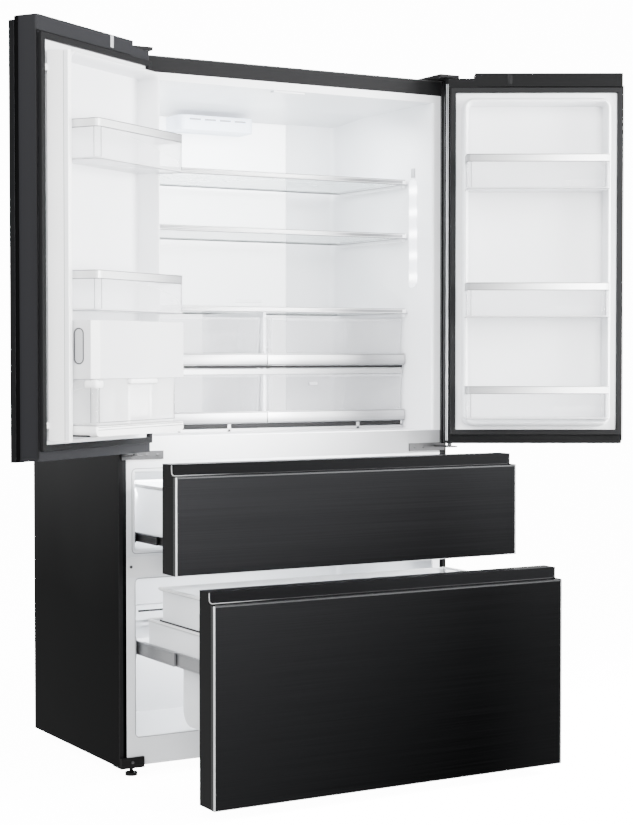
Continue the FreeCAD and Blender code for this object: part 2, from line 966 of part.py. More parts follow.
def crisper(side, low, height):
    """A clear bin behind a bright bar."""
    x = across(side, "crisper_side", "shell_width / 2 - crisper_middle")
    body = open_bin(
        x, (f"{crisper_face} + crisper_bar", f"{frame_back} - crisper_rear_gap"), (low, f"{low} + {height}"),
        "crisper_wall", "crisper_wall",
    )
    bar_x = across(side, "crisper_side", "shell_width / 2 - door_middle_gap / 4")
    bar = box(bar_x, (crisper_face, f"{crisper_face} + crisper_bar"), (low, f"{low} + crisper_bar_height"))
    if (side, height) == ("right", "chill_height"):
        return join(body, bar, *slider_track(low))
    return join(body, bar)


for tier, (low, height) in TIERS.items():
    for side in ("left", "right"):
        keep(f"{side}_{tier}", crisper(side, low, height))

chill_low = TIERS["chill_drawer"][0]
keep(
    "humidity_slider",
    box(
        ("slider_side - slider_width / 2", "slider_side + slider_width / 2"),
        (f"{crisper_face} + crisper_bar - slider_depth - fit_gap", f"{crisper_face} + crisper_bar - fit_gap"),
        slider_place(chill_low),
    ),
)


# The doors, drawn closed and then swung open

body_free = "(shell_width / 2 - door_middle_gap / 2 - panel_overhang)"
notch_top = f"({top} - notch_gap)"
gasket_free = f"({body_free} - gasket_free_inset)"
liner_low = f"({fridge_floor} + dyke_end)"
liner_top = f"({fridge_ceiling} - dyke_end)"
pan_back = f"({door_back} - pan_depth)"
dyke_face = f"({pan_back} + dyke_reach + pan_floor)"
bin_back = f"({pan_back} + pan_floor)"


def dyke_free(side):
    """Where the liner's raised edge ends: the left door leaves room for the mullion."""
    lap = "(gasket_width + gasket_free_inset)"
    room = "mullion_zone" if side == "left" else "right_dyke_inset"
    return f"({body_free} - {lap} - {room})"


def liner_span(side, growth="0"):
    return across(side, f"dyke_side - {growth}", f"{dyke_free(side)} + {growth}")


def bin_span(side):
    inset = "right_bin_inset" if side == "right" else "0"
    return across(side, "dyke_side + dyke_wall", f"{dyke_free(side)} - dyke_wall - {inset}")


def panel_block(side, inset="0"):
    """The panel's outline, or with inset the room inside it."""
    edge = "(shell_width / 2 - door_middle_gap / 2)"
    y = (f"{panel_face} - overrun", f"{panel_back} + 2 * overrun")
    plate = box(
        across(side, f"panel_side_gap + {inset}", f"{edge} - {inset}"),
        (f"{panel_face} + {inset}", f"{panel_back} + ({inset})"),
        (f"{door_low} + {inset}", f"{panel_top} - {inset}"),
    )
    tools = [
        box(across(side, "-overrun", f"notch_width + {inset}"), y,
            (f"{notch_top} - {inset}", f"{door_top} + overrun"))
    ]
    if side == "right":
        tools.append(
            box(across(side, f"{edge} - edge_grip_depth - {inset}", f"{edge} + overrun"), y,
                (f"{door_low} + edge_grip_low - {inset}", f"{door_top} - edge_grip_top + {inset}"))
        )
    return cut(plate, *tools)


def door_panel(side):
    """A steel pan whose edges fold back round the door's core."""
    return cut(panel_block(side), panel_block(side, "panel_wall"))


def door_body(side):
    block = box(
        across(side, "body_side_inset", body_free), (panel_back, door_back),
        (f"{door_low} + body_end_inset", body_top),
    )
    for radius, near_hinge in (("body_round", False), ("hinge_side_round", True)):
        block = rounded(
            block, radius,
            lambda edge: lies_along("z")(edge) and in_plane(block, "y", "Max")(edge)
            and (abs(edge.CenterOfMass.x) > size("shell_width") / 4) == near_hinge,
        )
    bores = [
        rod("z", "pin_radius + pin_clearance", "pin_reach + overrun", from_side(side, "hinge_inset"),
            hinge_line, start)
        for start in (f"{door_low} - overrun + body_end_inset", f"{notch_top} - pin_reach")
    ]
    notch = box(
        across(side, "-overrun", "notch_width"), (panel_back, f"{door_back} + overrun"),
        (notch_top, f"{door_top} + overrun"),
    )
    pocket = box(
        liner_span(side, "foam_fit"), (f"{pan_back} - foam_fit", f"{door_back} + overrun"),
        (f"{liner_low} - foam_fit", f"{liner_top} + foam_fit"),
    )
    core = panel_block(side, "(panel_wall + foam_fit)")
    return cut(join(block, core), notch, pocket, *bores)


mullion_turn_x = f"({gasket_free} - gasket_width - mullion_turn_gap)"
mullion_turn_y = f"({front} - mullion_turn_reach)"
bar_edge = f"({mullion_turn_x} - mullion_turn_reach)"
KNUCKLES = (
    f"({fridge_floor} + mullion_end_gap + knuckle_inset)",
    f"({fridge_ceiling} - mullion_end_gap - knuckle_inset - knuckle_height)",
)


def mullion_brackets():
    """Ears on the left door's liner with the pins that the mullion turns on."""
    pieces = []
    for low in KNUCKLES:
        for start in (f"{low} - fit_gap - knuckle_wall", f"{low} + knuckle_height + fit_gap"):
            pieces.append(
                box(
                    across("left", f"{mullion_turn_x} - knuckle_radius", f"{mullion_turn_x} + knuckle_radius"),
                    (f"{door_back} + liner_flange / 2", f"{mullion_turn_y} + knuckle_radius"),
                    (start, f"{start} + knuckle_wall"),
                )
            )
        pieces.append(
            rod("z", "knuckle_pin", "knuckle_height + 2 * fit_gap + 2 * knuckle_wall",
                from_side("left", mullion_turn_x), mullion_turn_y, f"{low} - fit_gap - knuckle_wall")
        )
    return pieces


def door_liner(side):
    """The white inner skin: a shallow pan with a raised edge that goes into the cabinet's mouth."""
    raised = rounded(
        box(liner_span(side), (pan_back, dyke_face), (liner_low, liner_top)), "fit_gap", lies_along("y")
    )
    flange = box(
        across(side, "flange_side", f"{gasket_free} - gasket_width"),
        (door_back, f"{door_back} + liner_flange"),
        (f"{middle_bar_top} - gasket_low_lap + gasket_width",
         f"{fridge_ceiling} + gasket_top_lap - gasket_width"),
    )
    hollow = rounded(
        box(
            bin_span(side), (f"{pan_back} + pan_floor", f"{dyke_face} + overrun"),
            (f"{liner_low} + dyke_wall", f"{liner_top} - dyke_wall"),
        ),
        "dyke_round", lies_along("y"),
    )
    pan = cut(join(raised, flange), hollow)
    return join(pan, *mullion_brackets()) if side == "left" else pan


def frame_ring(x, y, z, width):
    """A seal: a flat ring of one width."""
    return cut(
        box(x, y, z),
        box(around(x, f"-({width})"), around(y, "overrun"), around(z, f"-({width})")),
    )


def door_gasket(side):
    return frame_ring(
        across(side, "gasket_side", gasket_free), (door_back, f"{front} - gasket_clearance"),
        (f"{middle_bar_top} - gasket_low_lap", f"{fridge_ceiling} + gasket_top_lap"), "gasket_width",
    )


BIN_PLACES = {
    "upper": (f"({door_low} + upper_bin_share * ({door_top} - {door_low}))", "bin_height"),
    "middle": (f"({door_low} + middle_bin_rise)", "bin_height"),
    "low": (f"({door_low} + low_bin_rise)", "low_bin_height"),
}


def door_bin(side, low, height):
    return open_bin(
        bin_span(side), (bin_back, f"{bin_back} + bin_depth"), (low, f"{low} + {height}"),
        "bin_wall", "bin_round",
    )


def door_bins(side, levels):
    return group(*[door_bin(side, *BIN_PLACES[level]) for level in levels])


for side, levels in (("left", ("upper", "middle")), ("right", ("upper", "middle", "low"))):
    keep(f"{side}_door_panel", swing(door_panel(side), side))
    keep(f"{side}_door_body", swing(door_body(side), side))
    keep(f"{side}_door_liner", swing(door_liner(side), side))
    keep(f"{side}_door_gasket", swing(door_gasket(side), side))
    keep(f"{side}_door_bins", swing(door_bins(side, levels), side))


# The left door's ice module and water tank

module_low = f"({door_low} + module_rise)"
module_face = f"({bin_back} + module_depth)"
tank_low = f"({module_low} - fit_gap - tank_height)"
bin_free = f"({dyke_free('left')} - dyke_wall)"


def ice_module():
    block = box(bin_span("left"), (bin_back, module_face), (module_low, f"{module_low} + module_height"))
    case = rounded(
        block, "module_chamfer",
        lambda edge: in_plane(block, "x", "Max")(edge) and in_plane(block, "y", "Max")(edge),
        "Part::Chamfer",
    )
    grip_low = f"({bin_back} + module_depth - module_grip_back - module_grip_width)"
    middle = f"({module_low} + module_grip_rise)"
    slot = box(
        across("left", f"{bin_free} - module_grip_deep", f"{bin_free} + overrun"),
        (grip_low, f"{grip_low} + module_grip_width"),
        (f"{middle} - (module_grip_height - module_grip_width) / 2",
         f"{middle} + (module_grip_height - module_grip_width) / 2"),
    )
    ends = [
        rod("x", "module_grip_width / 2", "module_grip_deep + overrun",
            from_side("left", f"{bin_free} - module_grip_deep"), f"{grip_low} + module_grip_width / 2",
            f"{middle} {sign} (module_grip_height - module_grip_width) / 2")
        for sign in ("-", "+")
    ]
    room = box(
        around(bin_span("left"), "-(module_grip_deep + bin_wall)"),
        (f"{bin_back} - overrun", f"{module_face} - bin_wall"),
        (f"{module_low} + bin_wall", f"{module_low} + module_height - bin_wall"),
    )
    return cut(case, room, slot, *ends)


def water_tank():
    return open_bin(
        across("left", "tank_side", f"{bin_free} - tank_inset"),
        (f"{bin_back} + tank_back_gap", f"{module_face} - tank_inset"),
        (tank_low, f"{tank_low} + tank_height"), "tank_wall", "tank_wall",
    )


def tank_fittings():
    block = box(bin_span("left"), (bin_back, module_face), (f"{tank_low} - tray_height", tank_low))
    tray = rounded(
        block, "tray_round",
        lambda edge: lies_along("y")(edge) and in_plane(block, "z", "Min")(edge),
    )
    cap_face = f"({module_face} - tank_inset)"
    cap = box(
        across("left", "tank_cap_side", "tank_cap_side + tank_cap_width"),
        (cap_face, f"{cap_face} + tank_cap_depth - tank_inset"),
        (f"{module_low} - fit_gap - tank_cap_height", f"{module_low} - fit_gap"),
    )
    return group(tray, cap)


keep("ice_module", swing(ice_module(), "left"))
keep("water_tank", swing(water_tank(), "left"))
keep("tank_fittings", swing(tank_fittings(), "left"))


# The mullion, folded square to the left door

def mullion_bar():
    """A bar whose free end points into the cabinet; it turns out flat behind both doors' seals."""
    bar = rounded(
        box(
            across("left", f"{bar_edge} - mullion_wall", bar_edge),
            (mullion_turn_y, f"{mullion_turn_y} + mullion_width"),
            (f"{fridge_floor} + mullion_end_gap", f"{fridge_ceiling} - mullion_end_gap"),
        ),
        "mullion_round", lies_along("z"),
    )
    knuckles = []
    bores = []
    for low in KNUCKLES:
        x = from_side("left", mullion_turn_x)
        knuckles.append(rod("z", "knuckle_radius", "knuckle_height", x, mullion_turn_y, low))
        knuckles.append(
            box(
                across("left", f"{bar_edge} - mullion_round - knuckle_radius", mullion_turn_x),
                (f"{mullion_turn_y} - knuckle_radius / 2", f"{mullion_turn_y} + knuckle_radius"),
                (low, f"{low} + knuckle_height"),
            )
        )
        bores.append(
            rod("z", "knuckle_pin + pin_clearance", "knuckle_height + 2 * overrun", x, mullion_turn_y,
                f"{low} - overrun")
        )
    return cut(join(bar, *knuckles), *bores)


keep("mullion_bar", swing(mullion_bar(), "left"))


# The freezer drawers, drawn closed and then pulled out

DRAWERS = {
    "upper": {"low": upper_panel_low, "top": upper_panel_top, "cap": upper_cap_top, "pull": "upper_pull",
              "floor": upper_floor, "ceiling": upper_ceiling, "rail": f"({upper_floor} + upper_rail_rise)",
              "rail_height": "upper_rail_height"},
    "lower": {"low": lower_panel_low, "top": lower_panel_top, "cap": lower_cap_top, "pull": "lower_pull",
              "floor": lower_floor, "ceiling": lower_ceiling, "rail": f"({lower_ceiling} - lower_rail_drop)",
              "rail_height": "lower_rail_height"},
}


def drawer_block(drawer, inset="0"):
    """The panel's outline, or with inset the room inside it."""
    return box(
        both(f"shell_width / 2 - panel_side_gap - {inset}"),
        (f"{panel_face} + {inset}", f"{panel_back} + ({inset})"),
        (f"{drawer['low']} + {inset}", f"{drawer['top']} - {inset}"),
    )


def drawer_panel(drawer):
    plate = drawer_block(drawer)
    face = rounded(plate, "panel_edge", lambda edge: edge.BoundBox.YMax < plate.Shape.BoundBox.YMin + 0.01,
                   "Part::Chamfer")
    return cut(face, drawer_block(drawer, "panel_wall"))


def drawer_body(drawer):
    """The drawer's thick front behind its panel, with the cap that stands up behind the finger groove."""
    block = box(
        both("shell_width / 2 - panel_side_gap"), (panel_back, door_back),
        (f"{drawer['low']} + panel_side_gap", f"{drawer['top']} - grip_drop"),
    )
    cap = box(
        both("shell_width / 2 - cap_inset"), (f"{panel_back} + grip_width", door_back),
        (f"{drawer['top']} - grip_drop - overrun", drawer["cap"]),
    )
    return join(block, cap, drawer_block(drawer, "(panel_wall + foam_fit)"))


def drawer_gasket(drawer):
    return frame_ring(
        both(f"{cavity_inside} + drawer_gasket_lap"), (door_back, f"{front} - gasket_clearance"),
        (f"{drawer['floor']} - drawer_gasket_lap", f"{drawer['ceiling']} + drawer_gasket_lap"),
        "gasket_width",
    )


cover_face = f"({inner_back} - freezer_cover_back)"
rail_start = f"({front} + rail_front)"
rail_end = f"({lower_back} - rail_rear_gap)"


def rails(drawer, step):
    """One pair of rail members; step 0 is fixed to the liner, 1 is the middle one and 2 is on the basket."""
    near = f"{wall_side} + {step} * (rail_wall + basket_gap)"
    return [
        box(across(side, near, f"{near} + rail_wall"), (rail_start, rail_end),
            (drawer["rail"], f"{drawer['rail']} + {drawer['rail_height']}"))
        for side in ("left", "right")
    ]


basket_side = f"({wall_side} + 3 * rail_wall + 2 * basket_gap)"


def upper_basket():
    floor = f"({upper_floor} + upper_basket_rise)"
    return open_bin(
        both(f"shell_width / 2 - {basket_side}"), (door_back, f"{cover_face} - upper_basket_gap"),
        (floor, f"{floor} + upper_basket_height"), "basket_wall", "basket_wall",
    )


frame_rim = f"({DRAWERS['lower']['rail']} + lower_frame_height)"
lower_basket_back = f"({lower_back} - lower_basket_gap)"
deep_back = f"({hump_front} - deep_basket_gap)"
tray_back = f"({lower_basket_back} - tray_rear_gap)"


def lower_basket():
    """A shallow frame on the rails with a deep basket hung in its front half, in front of the hump."""
    rail = DRAWERS["lower"]["rail"]
    half = f"(shell_width / 2 - {basket_side})"
    low = f"({lower_floor} + lower_basket_rise)"
    frame = box(both(half), (door_back, lower_basket_back), (rail, frame_rim))
    deep = box(both(f"{half} - deep_side"), (door_back, deep_back), (low, f"{rail} + basket_wall"))
    deep = rounded(
        deep, "deep_slope",
        lambda edge: in_plane(deep, "y", "Max")(edge) and in_plane(deep, "z", "Min")(edge),
    )
    frame_room = box(
        both(f"{half} - basket_wall"), (f"{door_back} + basket_wall", f"{lower_basket_back} - basket_wall"),
        (f"{rail} + basket_wall", f"{frame_rim} + overrun"),
    )
    deep_room = box(
        both(f"{half} - deep_side - basket_wall"),
        (f"{door_back} + basket_wall", f"{deep_back} - basket_wall"),
        (f"{low} + basket_wall", f"{rail} + basket_wall + overrun"),
    )
    deep_room = rounded(
        deep_room, "deep_slope",
        lambda edge: in_plane(deep_room, "y", "Max")(edge) and in_plane(deep_room, "z", "Min")(edge),
    )
    return cut(join(frame, deep), frame_room, deep_room)


def lower_tray():
    floor = f"({frame_rim} + tray_lift)"
    x = both("shell_width / 2 - tray_side")
    lips = [
        box(across(side, basket_side, "tray_side + overrun"), (f"{door_back} + tray_step", tray_back),
            (floor, f"{floor} + basket_wall"))
        for side in ("left", "right")
    ]
    body = open_bin(
        x, (f"{door_back} + tray_step", tray_back), (floor, f"{floor} + inner_tray_height"),
        "basket_wall", "basket_wall",
    )
    room = box(
        both("shell_width / 2 - tray_side - basket_wall"),
        (f"{door_back} + tray_step + basket_wall", f"{tray_back} - basket_wall"),
        (f"{floor} + basket_wall", f"{floor} + inner_tray_height + overrun"),
    )
    return cut(join(body, *lips), room)


fixed = []
for name, drawer in DRAWERS.items():
    fixed += rails(drawer, "0")
    keep(f"{name}_middle_rails", pull(group(*rails(drawer, "1")), f"{drawer['pull']} / 2"))
    keep(f"{name}_drawer_rails", pull(group(*rails(drawer, "2")), drawer["pull"]))
    keep(f"{name}_drawer_panel", pull(group(drawer_panel(drawer)), drawer["pull"]))
    keep(f"{name}_drawer_body", pull(drawer_body(drawer), drawer["pull"]))
    keep(f"{name}_drawer_gasket", pull(drawer_gasket(drawer), drawer["pull"]))
keep("cabinet_rails", group(*fixed))
keep("upper_basket", pull(upper_basket(), "upper_pull"))
keep("lower_basket", pull(lower_basket(), "lower_pull"))
keep("lower_tray", pull(lower_tray(), "lower_pull"))


# Behind the freezer's rear cover: the cooling coil and its fan

cover_back = f"({cover_face} + freezer_cover_wall)"
fan_z = f"(({upper_floor} + {upper_ceiling}) / 2)"
fan_x = f"(fan_inset - {cavity_inside})"


def freezer_cover():
    plate = box(
        both(cavity_inside), (cover_face, cover_back), (upper_floor, upper_ceiling)
    )
    hole = rod("y", "fan_radius + fan_gap", "freezer_cover_wall + 2 * overrun", fan_x,
               f"{cover_face} - overrun", fan_z)
    reach = "(fan_radius + fan_gap + freezer_cover_wall)"
    spokes = [
        box((f"{fan_x} - {reach}", f"{fan_x} + {reach}"), (cover_face, cover_back),
            (f"{fan_z} - fan_spoke / 2", f"{fan_z} + fan_spoke / 2")),
        box((f"{fan_x} - fan_spoke / 2", f"{fan_x} + fan_spoke / 2"),
            (cover_face, cover_back), (f"{fan_z} - {reach}", f"{fan_z} + {reach}")),
    ]
    pin = rod("y", "fan_pin", "fan_depth + freezer_cover_wall", fan_x, cover_face, fan_z)
    return join(cut(plate, hole), *spokes, pin)


def evaporator():
    """A finned coil on the tub's back wall, with its two pipes."""
    start = f"({fan_x} + fan_radius + coil_fan_gap)"
    end = f"({cavity_inside} - coil_side)"
    block = box(
        (start, end), (f"{inner_back} - coil_depth", inner_back),
        (f"{upper_floor} + coil_lift", f"{upper_floor} + coil_lift + coil_height"),
    )
    pipes = [
        rod("x", "coil_tube", f"{end} - {start} + 4 * coil_tube", f"{start} - 2 * coil_tube",
            f"{inner_back} - coil_depth / 2", f"{upper_floor} + coil_lift + {share} * coil_height")
        for share in ("0.25", "0.75")
    ]
    return join(block, *pipes)


def evaporator_fan():
    start = f"({cover_back} + fan_gap)"
    hub = rod("y", "fan_hub", "fan_depth", fan_x, start, fan_z)
    blades = []
    for turn in range(int(size("blade_count"))):
        blade = doc.addObject("Part::Box", "blade")
        bind(blade, Length="blade_wall", Width="fan_depth", Height="fan_radius")
        angle = math.degrees(2 * math.pi * turn / size("blade_count"))
        blade.Placement = FreeCAD.Placement(FreeCAD.Vector(), FreeCAD.Rotation(FreeCAD.Vector(0, 1, 0), angle))
        blades.append(put(blade, fan_x, start, fan_z))
    bore = rod("y", "fan_pin + axle_clearance", "fan_depth + 2 * overrun", fan_x, f"{start} - overrun", fan_z)
    return cut(join(hub, *blades), bore)


keep("freezer_cover", freezer_cover())
keep("evaporator", evaporator())
keep("evaporator_fan", evaporator_fan())


# The machine bay, feet and rollers

def compressor():
    x = "compressor_side"
    y = f"({back} - compressor_back)"
    low = f"({base} + sheet_wall)"
    dome = rounded(
        rod("z", "compressor_radius", "compressor_height", x, y, f"{low} + compressor_foot"), "compressor_dome",
        lambda edge: edge.Closed,
    )
    plate = box(
        (f"{x} - foot_plate / 2", f"{x} + foot_plate / 2"), (f"{y} - foot_plate / 3", f"{y} + foot_plate / 3"),
        (low, f"{low} + compressor_foot + pipe_radius"),
    )
    pipe = rod("x", "pipe_radius", "pipe_length + compressor_radius", x, y,
               f"{low} + compressor_foot + compressor_height / 2")
    return join(dome, plate, pipe)


def rear_cover():
    low = f"({base} + sheet_wall)"
    plate = box(both(shell_inside), (f"{back} - sheet_wall", back), (low, f"{bay_top} - sheet_wall"))
    vents = []
    for column in range(int(size("rear_vent_count"))):
        offset = f"({column} - (rear_vent_count - 1) / 2) * rear_vent_pitch"
        for row in range(int(size("rear_vent_rows"))):
            height = f"{low} + rear_vent_start + {row} * rear_vent_rise"
            vents.append(
                box(
                    (f"{offset} - rear_vent_width / 2", f"{offset} + rear_vent_width / 2"),
                    (f"{back} - sheet_wall - overrun", f"{back} + overrun"),
                    (height, f"{height} + rear_vent_height"),
                )
            )
    return cut(plate, *vents)


def front_foot(side):
    bracket = join(
        box(across(side, "sheet_wall", "foot_bracket_width"), (f"{front} - foot_bracket_wall", front),
            (f"{base} - sheet_wall", f"{base} + foot_bracket_height")),
        box(across(side, "sheet_wall", "foot_bracket_width"),
            (f"{front} - foot_bracket_wall", f"{front} + foot_bracket_length"),
            (f"{base} - 2 * sheet_wall", base)),
    )
    x = from_side(side, "levelling_side")
    y = f"({front} + levelling_back)"
    foot = join(
        rod("z", "levelling_radius", "levelling_pad", x, y, "0"),
        rod("z", "levelling_stem", f"{base} - 2 * sheet_wall - levelling_pad + overrun", x, y,
            "levelling_pad - overrun"),
    )
    return join(bracket, foot)


def rear_roller(side):
    x, y = roller_place(side)
    wheel = rod("x", "roller_radius", "roller_width", f"{x} - roller_width / 2", y, "roller_radius")
    reach = "(roller_width / 2 + ear_gap + ear_wall + ear_gap)"
    axle = rod("x", "axle_radius", f"2 * {reach}", f"{x} - {reach}", y, "roller_radius")
    return join(wheel, axle)


keep("compressor", compressor())
keep("rear_cover", rear_cover())
keep("front_feet", group(front_foot("left"), front_foot("right")))
keep("left_roller", rear_roller("left"))
keep("right_roller", rear_roller("right"))


doc.recompute()
for piece in doc.Objects:
    if "Invalid" in piece.State or "Error" in piece.State:
        raise RuntimeError(f"{piece.Label} did not build: {piece.State}")
os.makedirs("parts", exist_ok=True)
for name, piece in PARTS.items():
    shape = piece.Shape
    if shape.isNull() or not shape.isValid() or not shape.Solids:
        raise RuntimeError(f"{name} is not a valid solid")
    shape.exportStep(f"parts/{name}.step")
    print(f"{name}: {len(shape.Solids)} solids, {shape.Volume / 1000:.0f} cm3")
print(f"{len(PARTS)} parts")
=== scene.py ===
# %% [markdown]
# # A refrigerator with two doors over two freezer drawers
#
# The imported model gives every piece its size, its place and the body that it moves with. This lesson dresses
# it: steel fronts, white plastic tubs, clear bins and the lights. It is stored open, so the doors are drawn
# shut, where their edges run along the axes, and then swung to where the frame has them.

# %% Load the frame
import json
from collections import namedtuple
from math import pi, radians

import bmesh
import bpy
from mathutils import Matrix, Vector

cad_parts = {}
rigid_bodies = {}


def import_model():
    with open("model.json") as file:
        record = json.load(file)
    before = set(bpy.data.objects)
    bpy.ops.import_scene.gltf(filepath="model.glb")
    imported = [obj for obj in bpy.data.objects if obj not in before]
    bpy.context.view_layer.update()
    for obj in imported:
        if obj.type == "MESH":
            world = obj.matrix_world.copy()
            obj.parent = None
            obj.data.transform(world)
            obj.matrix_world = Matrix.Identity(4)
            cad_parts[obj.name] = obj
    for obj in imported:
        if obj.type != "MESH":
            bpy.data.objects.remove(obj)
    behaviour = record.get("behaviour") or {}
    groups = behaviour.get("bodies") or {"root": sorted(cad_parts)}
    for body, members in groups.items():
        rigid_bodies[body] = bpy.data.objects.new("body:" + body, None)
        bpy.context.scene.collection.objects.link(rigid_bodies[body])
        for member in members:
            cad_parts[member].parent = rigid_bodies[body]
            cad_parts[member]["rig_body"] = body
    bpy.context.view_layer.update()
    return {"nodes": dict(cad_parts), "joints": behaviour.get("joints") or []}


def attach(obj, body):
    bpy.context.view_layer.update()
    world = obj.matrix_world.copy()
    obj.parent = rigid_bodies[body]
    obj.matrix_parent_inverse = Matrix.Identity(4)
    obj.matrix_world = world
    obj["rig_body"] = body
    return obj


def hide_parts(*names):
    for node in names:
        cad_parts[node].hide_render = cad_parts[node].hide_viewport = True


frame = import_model()
packed = frame["nodes"]
mm = 0.001

# %% [markdown]
# ## Where things are
#
# A box with named sides reads better than two corners. What rides on a door is measured with the door turned
# shut, so that width, depth and height mean what they mean on the closed refrigerator. Places are in metres, as
# the frame has them; sizes that are given as plain numbers are millimetres.

# %% How far the doors stand open
def swing(side):
    """The turn that takes a shut door to where it stands."""
    hinge = next(joint for joint in frame["joints"] if joint["name"] == f"{side}_door_hinge")
    centre = Matrix.Translation(hinge["pos_m"])
    return centre @ Matrix.Rotation(-radians(hinge["range_deg"][0]), 4, Vector(hinge["axis"])) @ centre.inverted()


turns = {"left_door": swing("left"), "right_door": swing("right"), "mullion": swing("left")}
print("bodies that are drawn shut", list(turns))

# %% Boxes of nodes and of their separate solids
class Span(namedtuple("Span", "x0 y0 z0 x1 y1 z1")):
    """A box with named sides; x, y and z are its stretches along the axes."""
    x = property(lambda box: (box.x0, box.x1))
    y = property(lambda box: (box.y0, box.y1))
    z = property(lambda box: (box.z0, box.z1))


def span(node, verts=None):
    """The box of a node, or of some of its vertices, with its door shut."""
    back_turn = turns.get(packed[node]["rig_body"], Matrix()).inverted()
    columns = list(zip(*[back_turn @ vert.co for vert in verts or packed[node].data.vertices]))
    return Span(*[min(column) for column in columns], *[max(column) for column in columns])


def welded(node):
    """A copy of a node's mesh whose faces hang together."""
    mesh = bmesh.new()
    mesh.from_mesh(packed[node].data)
    bmesh.ops.remove_doubles(mesh, verts=mesh.verts, dist=0.01 * mm)
    return mesh


def islands(node):
    """The boxes of a node's separate solids, from low to high."""
    mesh = welded(node)
    left, boxes = set(mesh.verts), []
    while left:
        found, queue = set(), [left.pop()]
        while queue:
            vert = queue.pop()
            found.add(vert)
            joined = {line.other_vert(vert) for line in vert.link_edges} & left
            left -= joined
            queue += joined
        boxes.append(span(node, found))
    mesh.free()
    return sorted(boxes, key=lambda box: (round(box.z0, 3), box.x0))


cabinet, room = span("outer_shell"), span("fridge_liner")
front, back = cabinet.y0, cabinet.y1
print("cabinet", [round(number, 3) for number in cabinet])

# %% [markdown]
# ## Shaping helpers
#
# Most pieces of an appliance are sheet metal or moulded plastic, so they are blocks whose edges are rounded.
# Sharp corners never catch light, so the edges that show are rounded or bevelled. A Bevel modifier with
# hardened normals keeps the large faces flat and rounds only the edges.

# %% Stretches
def near(place, low, high):
    """The stretch from low to high millimetres past a place."""
    return place + low * mm, place + high * mm


def within(stretch, low, high=None):
    """A stretch made shorter by so many millimetres at its low and its high end."""
    return stretch[0] + low * mm, stretch[1] - (low if high is None else high) * mm


def ends(stretch, width):
    """The two strips of a width at the ends of a stretch."""
    return near(stretch[0], 0, width), near(stretch[1], -width, 0)


# %% Blocks and rods
def bevel(mesh, edges, radius, steps=4):
    bmesh.ops.bevel(
        mesh, geom=edges, offset=radius * mm, segments=steps, profile=0.5, affect="EDGES", material=-1
    )


def block(mesh, x, y, z, edge=0, steps=2):
    """Adds a block from its stretches along the axes."""
    low, high = [Vector(corner) for corner in zip(x, y, z)]
    verts = bmesh.ops.create_cube(mesh, size=1)["verts"]
    bmesh.ops.scale(mesh, vec=high - low, verts=verts)
    bmesh.ops.translate(mesh, vec=(low + high) / 2, verts=verts)
    if edge:
        bevel(mesh, list({line for vert in verts for line in vert.link_edges}), edge, steps)
    return mesh


def rod(mesh, start, end, radius, tip=None, sides=24):
    """Adds a round bar, or with tip a cone."""
    start, end = Vector(start), Vector(end)
    turn = (end - start).to_track_quat("Z", "Y").to_matrix().to_4x4()
    bmesh.ops.create_cone(
        mesh, cap_ends=True, segments=sides, radius1=radius * mm, radius2=(radius if tip is None else tip) * mm,
        depth=(end - start).length, matrix=Matrix.Translation((start + end) / 2) @ turn,
    )


# %% Picking edges, insets and rings
def along(mesh, axis, where=lambda co: True):
    """The edges that run along an axis, 0 to 2, and start at a place that passes a test."""
    ways = [(line, line.verts[1].co - line.verts[0].co) for line in mesh.edges]
    return [line for line, way in ways
            if way.length > 0 and abs(way[axis]) > 0.999 * way.length and where(line.verts[0].co)]


def delete_faces(mesh, test):
    bmesh.ops.delete(mesh, geom=[face for face in mesh.faces if test(face)], context="FACES")


def inset(mesh, face, width, depth=0, even=True):
    """Insets a face and returns the faces of the new ring round it."""
    return bmesh.ops.inset_region(
        mesh, faces=[face], thickness=width * mm, depth=depth * mm, use_even_offset=even
    )["faces"]


def front_ring(mesh, width):
    """Keeps nothing but a ring round the face that looks forward."""
    kept = inset(mesh, min(mesh.faces, key=lambda face: face.calc_center_median().y), width)
    delete_faces(mesh, lambda face: face not in kept)
    return mesh


# %% A piece: mesh, finish, body and the nodes it stands for
def piece(name, mesh, finish, body, *nodes, swung=False, wall=0, edge=0, steps=2):
    """Makes one object of a mesh and frees the mesh. What rides on a door is swung out, unless it already is."""
    if body in turns and not swung:
        bmesh.ops.transform(mesh, matrix=turns[body], verts=mesh.verts)
    bmesh.ops.recalc_face_normals(mesh, faces=mesh.faces)
    data = bpy.data.meshes.new(name)
    mesh.to_mesh(data)
    mesh.free()
    data.materials.append(finish.material)
    data.shade_smooth()
    data.set_sharp_from_angle(angle=radians(35))
    made = bpy.data.objects.new(name, data)
    bpy.context.scene.collection.objects.link(made)
    if wall:
        shell = made.modifiers.new("wall", "SOLIDIFY")
        shell.thickness, shell.offset, shell.use_even_offset = wall * mm, -1, True
    if edge:
        ease = made.modifiers.new("edges", "BEVEL")
        ease.width, ease.segments, ease.limit_method, ease.angle_limit = edge * mm, steps, "ANGLE", radians(35)
        ease.harden_normals = True
    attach(made, body)
    if nodes:
        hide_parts(*nodes)
    finish.slot
    print("made", name, "of", finish.material.name)
    return made


def blocks(name, finish, body, boxes, *nodes, **shape):
    """A piece of blocks: each has three stretches and, where its edges are rounded, their size and steps."""
    mesh = bmesh.new()
    for box in boxes:
        block(mesh, *box)
    return piece(name, mesh, finish, body, *nodes, **shape)


def eased(node, finish, edge=0.8, steps=2):
    """A copy of a node with its flat faces made whole and its edges rounded."""
    mesh = welded(node)
    bmesh.ops.dissolve_limit(mesh, angle_limit=radians(1), verts=mesh.verts, edges=mesh.edges)
    body = packed[node]["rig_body"]
    return piece(f"{node}_finished", mesh, finish, body, node, swung=True, edge=edge, steps=steps)


